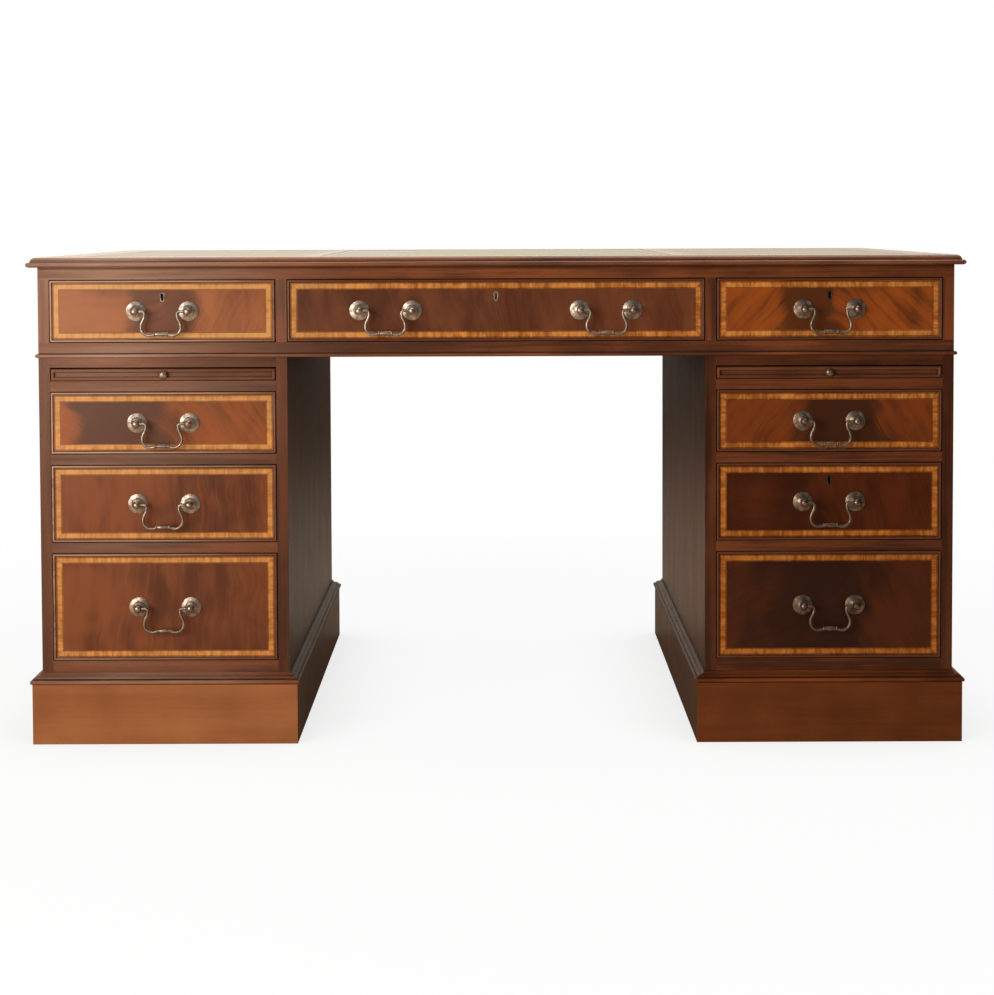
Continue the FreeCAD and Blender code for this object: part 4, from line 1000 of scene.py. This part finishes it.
# %% Veneer of each drawer
# light, dark, lean, plume, streak, heart, heart place, heart width, patch, patch place
VENEERS = {
    "frieze_left": ((0.4, 0.13, 0.042), (0.16, 0.052, 0.021), -0.5, 0.5, 0.3,
                    0.8, 0.0, 0.06, 0.2, (-0.13, -0.01)),
    "frieze_centre": ((0.2, 0.061, 0.023), (0.09, 0.026, 0.011), 0.2, 0.3, 0.3,
                      0.3, -0.1, 0.3, 0.0, (0, 0)),
    "frieze_right": ((0.38, 0.085, 0.012), (0.12, 0.033, 0.009), 0.9, 1.0, 0.9,
                     0.8, -0.035, 0.045, 0.15, (-0.13, 0)),
    "left_upper": ((0.33, 0.085, 0.02), (0.12, 0.042, 0.018), 0.8, 0.3, 0.7,
                   1.1, -0.06, 0.08, 0.28, (-0.185, 0)),
    "left_middle": ((0.25, 0.066, 0.018), (0.1, 0.027, 0.01), 0.1, 0.0, 0.5,
                    0.3, 0.08, 0.12, 0.15, (-0.1, -0.01)),
    "left_lower": ((0.24, 0.066, 0.02), (0.11, 0.03, 0.011), -0.05, 0.0, 0.5,
                   0.35, 0.06, 0.13, 0.4, (-0.135, 0)),
    "right_upper": ((0.23, 0.05, 0.009), (0.065, 0.019, 0.007), 0.6, 0.9, 0.6,
                    1.1, 0.02, 0.07, 0.15, (-0.11, 0)),
    "right_middle": ((0.118, 0.0235, 0.0045), (0.048, 0.0105, 0.003), 0.3, 0.5, 0.35,
                     0.6, -0.1, 0.1, 0.25, (-0.09, 0)),
    "right_lower": ((0.088, 0.02, 0.005), (0.034, 0.009, 0.0035), 0.6, 0.6, 0.4,
                    0.8, -0.03, 0.12, 0.4, (0.1, -0.05)),
}
LEAF_STEP = 1.7  # metres in the noise between one drawer's leaf and the next


def drawer_veneer(tree, drawer, place):
    """The veneer group with one drawer's own values."""
    light, dark, lean, plume, streak, heart, heart_place, heart_width, patch, patch_place = VENEERS[drawer]
    return use(tree, flame_veneer, Vector=place, Light=(*light, 1), Dark=(*dark, 1), Lean=lean, Plume=plume,
               Streak=streak, Heart=heart, Patch=patch,
               **{"Heart Place": heart_place, "Heart Width": heart_width,
                  "Patch Place": (patch_place[0], 0, patch_place[1])})


print("veneers for", len(VENEERS), "drawers")

# %% [markdown]
# The golden band fades towards the window too, with painted sheen, and this begins further to the right
# than on the other wood. Low down at the right it is darker, with painted shade. The cockbead takes the
# knocks: where it is paler from fading and painted sheen, its crest is paler still, worn and with a
# painted highlight.

# %% Band and bead
BAND_LIGHT = (0.81, 0.313, 0.07, 1)
BAND_DARK = (0.36, 0.107, 0.0156, 1)
BAND_FLECKS = (0.27, 0.78)  # of the fleck value, from the dark colour to the light one
# band colour towards the window: fading and painted sheen
BAND_FADED_AND_SHEEN = (0.71, 0.36, 0.119, 1)
BAND_FADE_AND_SHEEN_ACROSS = (-0.05, -0.5)  # metres; the fading and painted sheen begin further right than on the other wood
FLECK_FADE_AND_SHEEN = (0.2, 0.6)  # dark flecks take a little less of the fading and painted sheen than light ones
FLECK_FADE_AND_SHEEN_SHARE = 0.78
BAND_PAINTED_SHADE = (0.74, 0.63, 0.43, 1)  # painted shade: how much darker the band is low down at the right end
BAND_SHADE_ACROSS = (0.0, 0.35)  # metres
BAND_SHADE_DOWN = (0.7, 0.2)
LINE_SHADE = (0.52, 0.4, 0.3, 1)
BEAD_COLOUR = (0.12, 0.034, 0.011, 1)
# paler cockbead towards the window: fading and painted sheen
BEAD_FADED_AND_SHEEN = (0.3, 0.17, 0.11, 1)
# paler crest: wear and painted highlight
BEAD_RUBBED_AND_HIGHLIGHT = (0.6, 0.37, 0.25, 1)
BEAD_RUBBED_AND_HIGHLIGHT_SHARES = (0.03, 0.8)  # of the crest, worn and with a painted highlight, where the fading and sheen are nothing and half
HALF_FADE_AND_SHEEN = 0.5
BEAD_END_SHARE = 0.9  # of the fading and painted sheen, left at the very end of the desk


def band_colour(tree, place, inlay):
    """The golden strip: flecked, with painted shade low at the right, paler to the left by fading and
    painted sheen, and darker along its two lines.
    """
    x, y, z = parts(tree, here(tree))
    band = tint(tree, ramp(tree, inlay["Fleck"], *BAND_FLECKS), BAND_DARK, BAND_LIGHT)
    # painted shade, low down at the right end
    band_shade = times(tree, ramp(tree, x, *BAND_SHADE_ACROSS), ramp(tree, z, *BAND_SHADE_DOWN))
    band = tint(tree, band_shade, band, BAND_PAINTED_SHADE, "MULTIPLY")
    flecked = ramp(tree, inlay["Fleck"], *FLECK_FADE_AND_SHEEN, FLECK_FADE_AND_SHEEN_SHARE, 1.0)
    # fading and painted sheen towards the window
    band = tint(tree, times(tree, fade_and_sheen_share(tree, place, 1.0, BAND_FADE_AND_SHEEN_ACROSS), flecked), band, BAND_FADED_AND_SHEEN)
    return tint(tree, inlay["Line"], band, LINE_SHADE, "MULTIPLY")


def bead_colour(tree, place, inlay):
    """The cockbead: paler by fading and painted sheen, and paler still along its crest there, worn and with
    a painted highlight.
    """
    fade_and_sheen = fade_and_sheen_share(tree, place, BEAD_END_SHARE)
    # painted highlight, and wear, on the crest where the bead is paler
    lightened = times(tree, inlay["Crest"], ramp(tree, fade_and_sheen, 0.0, HALF_FADE_AND_SHEEN, *BEAD_RUBBED_AND_HIGHLIGHT_SHARES))
    return tint(tree, lightened, tint(tree, fade_and_sheen, BEAD_COLOUR, BEAD_FADED_AND_SHEEN), BEAD_RUBBED_AND_HIGHLIGHT)


print("band from", BAND_DARK[:3], "to", BAND_LIGHT[:3])

# %% [markdown]
# A front's finish lays these over one another by their masks: veneer, then band, then bead. The bead is
# glossier, and the back of each front is a plain board, seen only when the drawer is open, so the material
# changes a little way behind the face.

# %% Drawer fronts
FRONT_VARNISH = {"Coat Weight": 0.07, "Coat Roughness": 0.2, "Specular IOR Level": 0.14}
BEAD_COAT = 0.3
FACE_DEPTH = 9.5 * MM  # behind the face, where the front's own board shows


def drawer_front_finish(drawer, number):
    """Finish of one front: veneer, then band and bead by their masks, and a plain board behind."""
    low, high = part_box(drawer + "_drawer_front")
    middle = (low + high) / 2
    half = (high - low) / 2
    material, tree, shader = new_finish(drawer + "_front", FRONT_VARNISH)
    place = moved(tree, here(tree), place=(-middle.x, number * LEAF_STEP, -middle.z))
    veneer = drawer_veneer(tree, drawer, place)
    inlay = use(tree, inlaid_frame, Vector=place, **{"Half Width": half.x, "Half Height": half.z})
    colour = tint(tree, inlay["Band"], veneer["Color"], band_colour(tree, place, inlay))
    colour = tint(tree, inlay["Bead"], colour, bead_colour(tree, place, inlay))
    board = use(tree, board_grain, Vector=grain_along(tree, "X", number), Light=RAIL_LIGHT, Dark=RAIL_DARK,
                Stripe=0.8, Dull=0.4)
    depth = sums(tree, "SUBTRACT", parts(tree, here(tree))[1], low.y)
    colour = tint(tree, sums(tree, "GREATER_THAN", depth, FACE_DEPTH), colour, board["Color"])
    coat = ramp(tree, inlay["Bead"], 0.0, 1.0, FRONT_VARNISH["Coat Weight"], BEAD_COAT)
    tree.links.new(coat, shader.inputs["Coat Weight"])
    polish(tree, shader, colour, veneer["Roughness"], veneer["Height"], WORN_WOOD)
    return material


for number, drawer in enumerate(VENEERS):
    dress(drawer_front_finish(drawer, number), drawer + "_drawer_front")
print("fronts", len(VENEERS))

# %% [markdown]
# ## Old brass
# The handles, roses, knobs and locks are brass that has darkened for a century. Hands have rubbed some of
# it paler and the rest keeps a brown tarnish. A patchy noise chooses between the two colours, and rougher
# metal goes with the darker one. Towards the right end and near the floor the brass is darker still, partly
# deeper tarnish and partly painted shade. The bails are a shade darker than the roses behind them, the knobs
# of the slides are redder, and the thin linings of the keyholes on both sides are darkened.

# %% Brass
BRASS_WORN = (0.7, 0.56, 0.455, 1)
BRASS_DARK = (0.28, 0.215, 0.165, 1)
BAIL_BRASS = (0.52, 0.41, 0.325, 1)
KNOB_BRASS = (0.6, 0.43, 0.3, 1)
BRASS_PATCHES = (0.36, 0.62)  # of the patch noise, from tarnished to rubbed
BRASS_ROUGHNESS = (0.54, 0.38)  # of tarnished and of rubbed metal
TARNISH_AND_SHADE = (0.57, 0.53, 0.5, 1)  # how dark the brass is at the right end: tarnish and painted shade
# the same for the bails: tarnish and painted shade at the right end
BAIL_TARNISH_AND_SHADE = (0.78, 0.74, 0.72, 1)
TARNISH_AND_SHADE_ACROSS = (0.0, 0.4)  # metres
LOW_TARNISH_AND_SHADE = (0.66, 0.61, 0.57, 1)  # and near the floor: tarnish and painted shade
TARNISH_AND_SHADE_DOWN = (0.75, 0.15)
LINING_HALF = 9 * MM  # the keyhole linings lie within this of the middle of a drawer
LINING_SHADES = {"left": 0.4, "right": 0.45}  # of their colour, which is kept where they are darkened
BRASS_EDGE = 0.5 * MM
BRASS_BUMP = 0.06 * MM


def brass_finish(name, worn=BRASS_WORN, tarnish_and_shade=TARNISH_AND_SHADE, linings=()):
    """Metal whose colour and roughness follow a soft patchy patina, darker still to the right and near the
    floor, by deeper patina and painted shade.

    linings are the middles of keyholes along X and how much of the colour is kept there."""
    material, tree, shader = new_finish(name, {"Metallic": 1.0})
    place = here(tree)
    x, y, z = parts(tree, place)
    specks = cloud(tree, place, 900, 2)
    patches = weighted(tree, (cloud(tree, place, 130, 4, 0.6), 0.8), (specks, 0.2))
    lightened = ramp(tree, patches, *BRASS_PATCHES)
    colour = tint(tree, lightened, BRASS_DARK, worn)
    # darker to the right end: tarnish and painted shade
    colour = tint(tree, ramp(tree, x, *TARNISH_AND_SHADE_ACROSS), colour, tarnish_and_shade, "MULTIPLY")
    # darker near the floor: tarnish and painted shade
    colour = tint(tree, ramp(tree, z, *TARNISH_AND_SHADE_DOWN), colour, LOW_TARNISH_AND_SHADE, "MULTIPLY")
    for middle, shade in linings:
        # the thin linings of the keyholes are darkened
        keyhole_darkening = ramp(tree, off(tree, x, middle), LINING_HALF, LINING_HALF - 1 * MM, 0.0, 1 - shade)
        colour = tint(tree, keyhole_darkening, colour, BLACK)
    tree.links.new(colour, shader.inputs["Base Color"])
    tree.links.new(ramp(tree, lightened, 0.0, 1.0, *BRASS_ROUGHNESS), shader.inputs["Roughness"])
    eased = put(tree, "Bevel", {"Radius": BRASS_EDGE}, samples=4).outputs["Normal"]
    raise_relief(tree, shader, specks, BRASS_BUMP, Normal=eased)
    return material


moving_brass = [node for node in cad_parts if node.endswith(("_bail", "_bolt"))]
fixed_brass = [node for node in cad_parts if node.endswith("_fittings")]
linings = []
for place, shade in LINING_SHADES.items():
    low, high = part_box("frieze_" + place + "_drawer_front")
    linings.append(((low.x + high.x) / 2, shade))
dress(brass_finish("old_brass", BAIL_BRASS, BAIL_TARNISH_AND_SHADE), *moving_brass)
dress(brass_finish("fixed_brass", linings=linings), *fixed_brass)
dress(brass_finish("knob_brass", KNOB_BRASS), *[side + "_slide_knob" for side in PEDESTAL_SIDES])
print("brass on", len(moving_brass + fixed_brass), "nodes and", len(PEDESTAL_SIDES), "knobs")

# %% [markdown]
# ## Leather panels
# Three skins of green leather are glued into shallow recesses in the top. A skin is thin and soft: its edge
# turns down a little where it was pressed into the corner of the recess, and its surface is never quite
# flat. Each skin is a grid of points whose height is worked out from its distance to the edge, with grid
# lines gathered near the edge where the height changes. The distances go into the UV map, where the tooled
# lines of the material can find them.

# %% Leather skins
STRIP_WIDTH = 30 * MM
CENTRE_WIDTH = 578 * MM
SKIN_GAP = 0.3 * MM
TURN_WIDTH = 2.5 * MM
TURN_DROP = 0.7 * MM
SWELL = 0.12 * MM
SWELL_WAVES = ((23, 7), (-5, 19))  # radians per metre along X and Y, of the two waves that are multiplied
SKIN_STEPS = 60


def gathered(low, high, steps):
    """Places from low to high, closer together near both ends: the middle plus half the span times a sine."""
    angle = np.linspace(-math.pi / 2, math.pi / 2, 2 * steps + 1)
    return (low + high) / 2 + (high - low) / 2 * np.sin(angle)


def leather_skin(name, x_low, x_high):
    """Grid surface of one skin, with its distances to the edges as UV map.

    Height = top, less a drop that fades as (1 - distance / turn width) squared, plus a slow swell."""
    xs = gathered(x_low + SKIN_GAP, x_high - SKIN_GAP, SKIN_STEPS)
    ys = gathered(leather_low.y + SKIN_GAP, leather_high.y - SKIN_GAP, SKIN_STEPS)
    x, y = np.meshgrid(xs, ys)
    from_side = np.minimum(x - xs[0], xs[-1] - x)
    from_front = np.minimum(y - ys[0], ys[-1] - y)
    near = np.clip(1 - np.minimum(from_side, from_front) / TURN_WIDTH, 0, 1)
    first, second = (np.sin(x * rate_x + y * rate_y) for rate_x, rate_y in SWELL_WAVES)
    z = leather_high.z - TURN_DROP * near ** 2 + SWELL * (first * second - 1)
    points = np.stack([x, y, z], -1).reshape(-1, 3)
    rows, columns = x.shape
    index = np.arange(rows * columns).reshape(rows, columns)
    faces = np.stack([index[:-1, :-1], index[:-1, 1:], index[1:, 1:], index[1:, :-1]], -1).reshape(-1, 4)
    mesh = bpy.data.meshes.new(name)
    mesh.from_pydata(points.tolist(), [], faces.tolist())
    mesh.polygons.foreach_set("use_smooth", np.ones(len(faces), bool))
    distances = np.stack([from_side, from_front], -1).reshape(-1, 2)
    mesh.uv_layers.new(name="from_edges").data.foreach_set("uv", distances[faces.ravel()].ravel())
    skin = bpy.data.objects.new(name, mesh)
    bpy.context.collection.objects.link(skin)
    return skin


half_centre = CENTRE_WIDTH / 2
skins = [leather_skin("leather_left", leather_low.x, -half_centre - STRIP_WIDTH),
         leather_skin("leather_centre", -half_centre, half_centre),
         leather_skin("leather_right", half_centre + STRIP_WIDTH, leather_high.x)]
print("skins", [len(skin.data.polygons) for skin in skins])

# %% [markdown]
# Leather has a pebbled grain of small raised cells between fine creases, which a Voronoi texture gives. Use
# has darkened it in patches. Round the edge runs a pressed border: a gilt line, and inside it two blind
# lines with a row of small lozenges between, all found from the distances in the UV map.

# %% Leather finish
LEATHER_LIGHT = (0.125, 0.15, 0.068, 1)
LEATHER_DARK = (0.06, 0.078, 0.034, 1)
LEATHER_PATCHES = (0.3, 0.7)  # of the patch noise, from the dark colour to the light one
PEBBLES = 700.0  # cells per metre
TOOLED_SHARE = 0.55
LEATHER_BUMP = 0.1 * MM
GILT = (0.62, 0.43, 0.15, 1)
GILT_METAL = 0.8
GILT_PLACE = 11 * MM
GILT_WIDTH = 1.4 * MM
BLIND_PLACES = (18 * MM, 30 * MM)
BLIND_WIDTH = 0.9 * MM
LOZENGE_PITCH = 12 * MM
LOZENGE_REACH = 4.2 * MM


def leather_finish():
    """Green leather: pebbled bump, worn patches and a tooled border."""
    material, tree, shader = new_finish("green_leather", {"Specular IOR Level": 0.8})
    place = here(tree)
    u, v = parts(tree, put(tree, "UVMap", uv_map="from_edges").outputs["UV"])[:2]
    edge = sums(tree, "MINIMUM", u, v)
    along = sums(tree, "MAXIMUM", u, v)

    def line(middle, width):
        return ramp(tree, off(tree, edge, middle), width * 0.75, width * 0.35)
    gilt = line(GILT_PLACE, GILT_WIDTH)
    blind = sums(tree, "MAXIMUM", *[line(middle, BLIND_WIDTH) for middle in BLIND_PLACES])
    to_lozenge = sums(tree, "PINGPONG", along, LOZENGE_PITCH / 2)
    reach = sums(tree, "ADD", to_lozenge, off(tree, edge, sum(BLIND_PLACES) / 2))
    lozenge = ramp(tree, reach, LOZENGE_REACH, LOZENGE_REACH * 0.85)
    tooled = sums(tree, "MAXIMUM", blind, lozenge)
    patches = cloud(tree, place, 6, 4, 0.6)
    cells = put(tree, "TexVoronoi", {"Vector": place, "Scale": PEBBLES}).outputs["Distance"]
    colour = tint(tree, ramp(tree, patches, *LEATHER_PATCHES), LEATHER_DARK, LEATHER_LIGHT)
    colour = tint(tree, times(tree, tooled, TOOLED_SHARE), colour, LEATHER_DARK, "MULTIPLY")
    colour = tint(tree, gilt, colour, GILT)
    tree.links.new(colour, shader.inputs["Base Color"])
    tree.links.new(weighted(tree, (patches, 0.12), (gilt, -0.1), (1.0, 0.18)), shader.inputs["Roughness"])
    tree.links.new(times(tree, gilt, GILT_METAL), shader.inputs["Metallic"])
    height = weighted(tree, (cells, -0.25), (tooled, -1.0), (gilt, -0.8))
    raise_relief(tree, shader, height, LEATHER_BUMP)
    return material


leather = leather_finish()
for skin in skins:
    skin.data.materials.append(leather)
    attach(skin, "desk")
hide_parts("leather_panels")
print("leather on", len(skins), "skins")
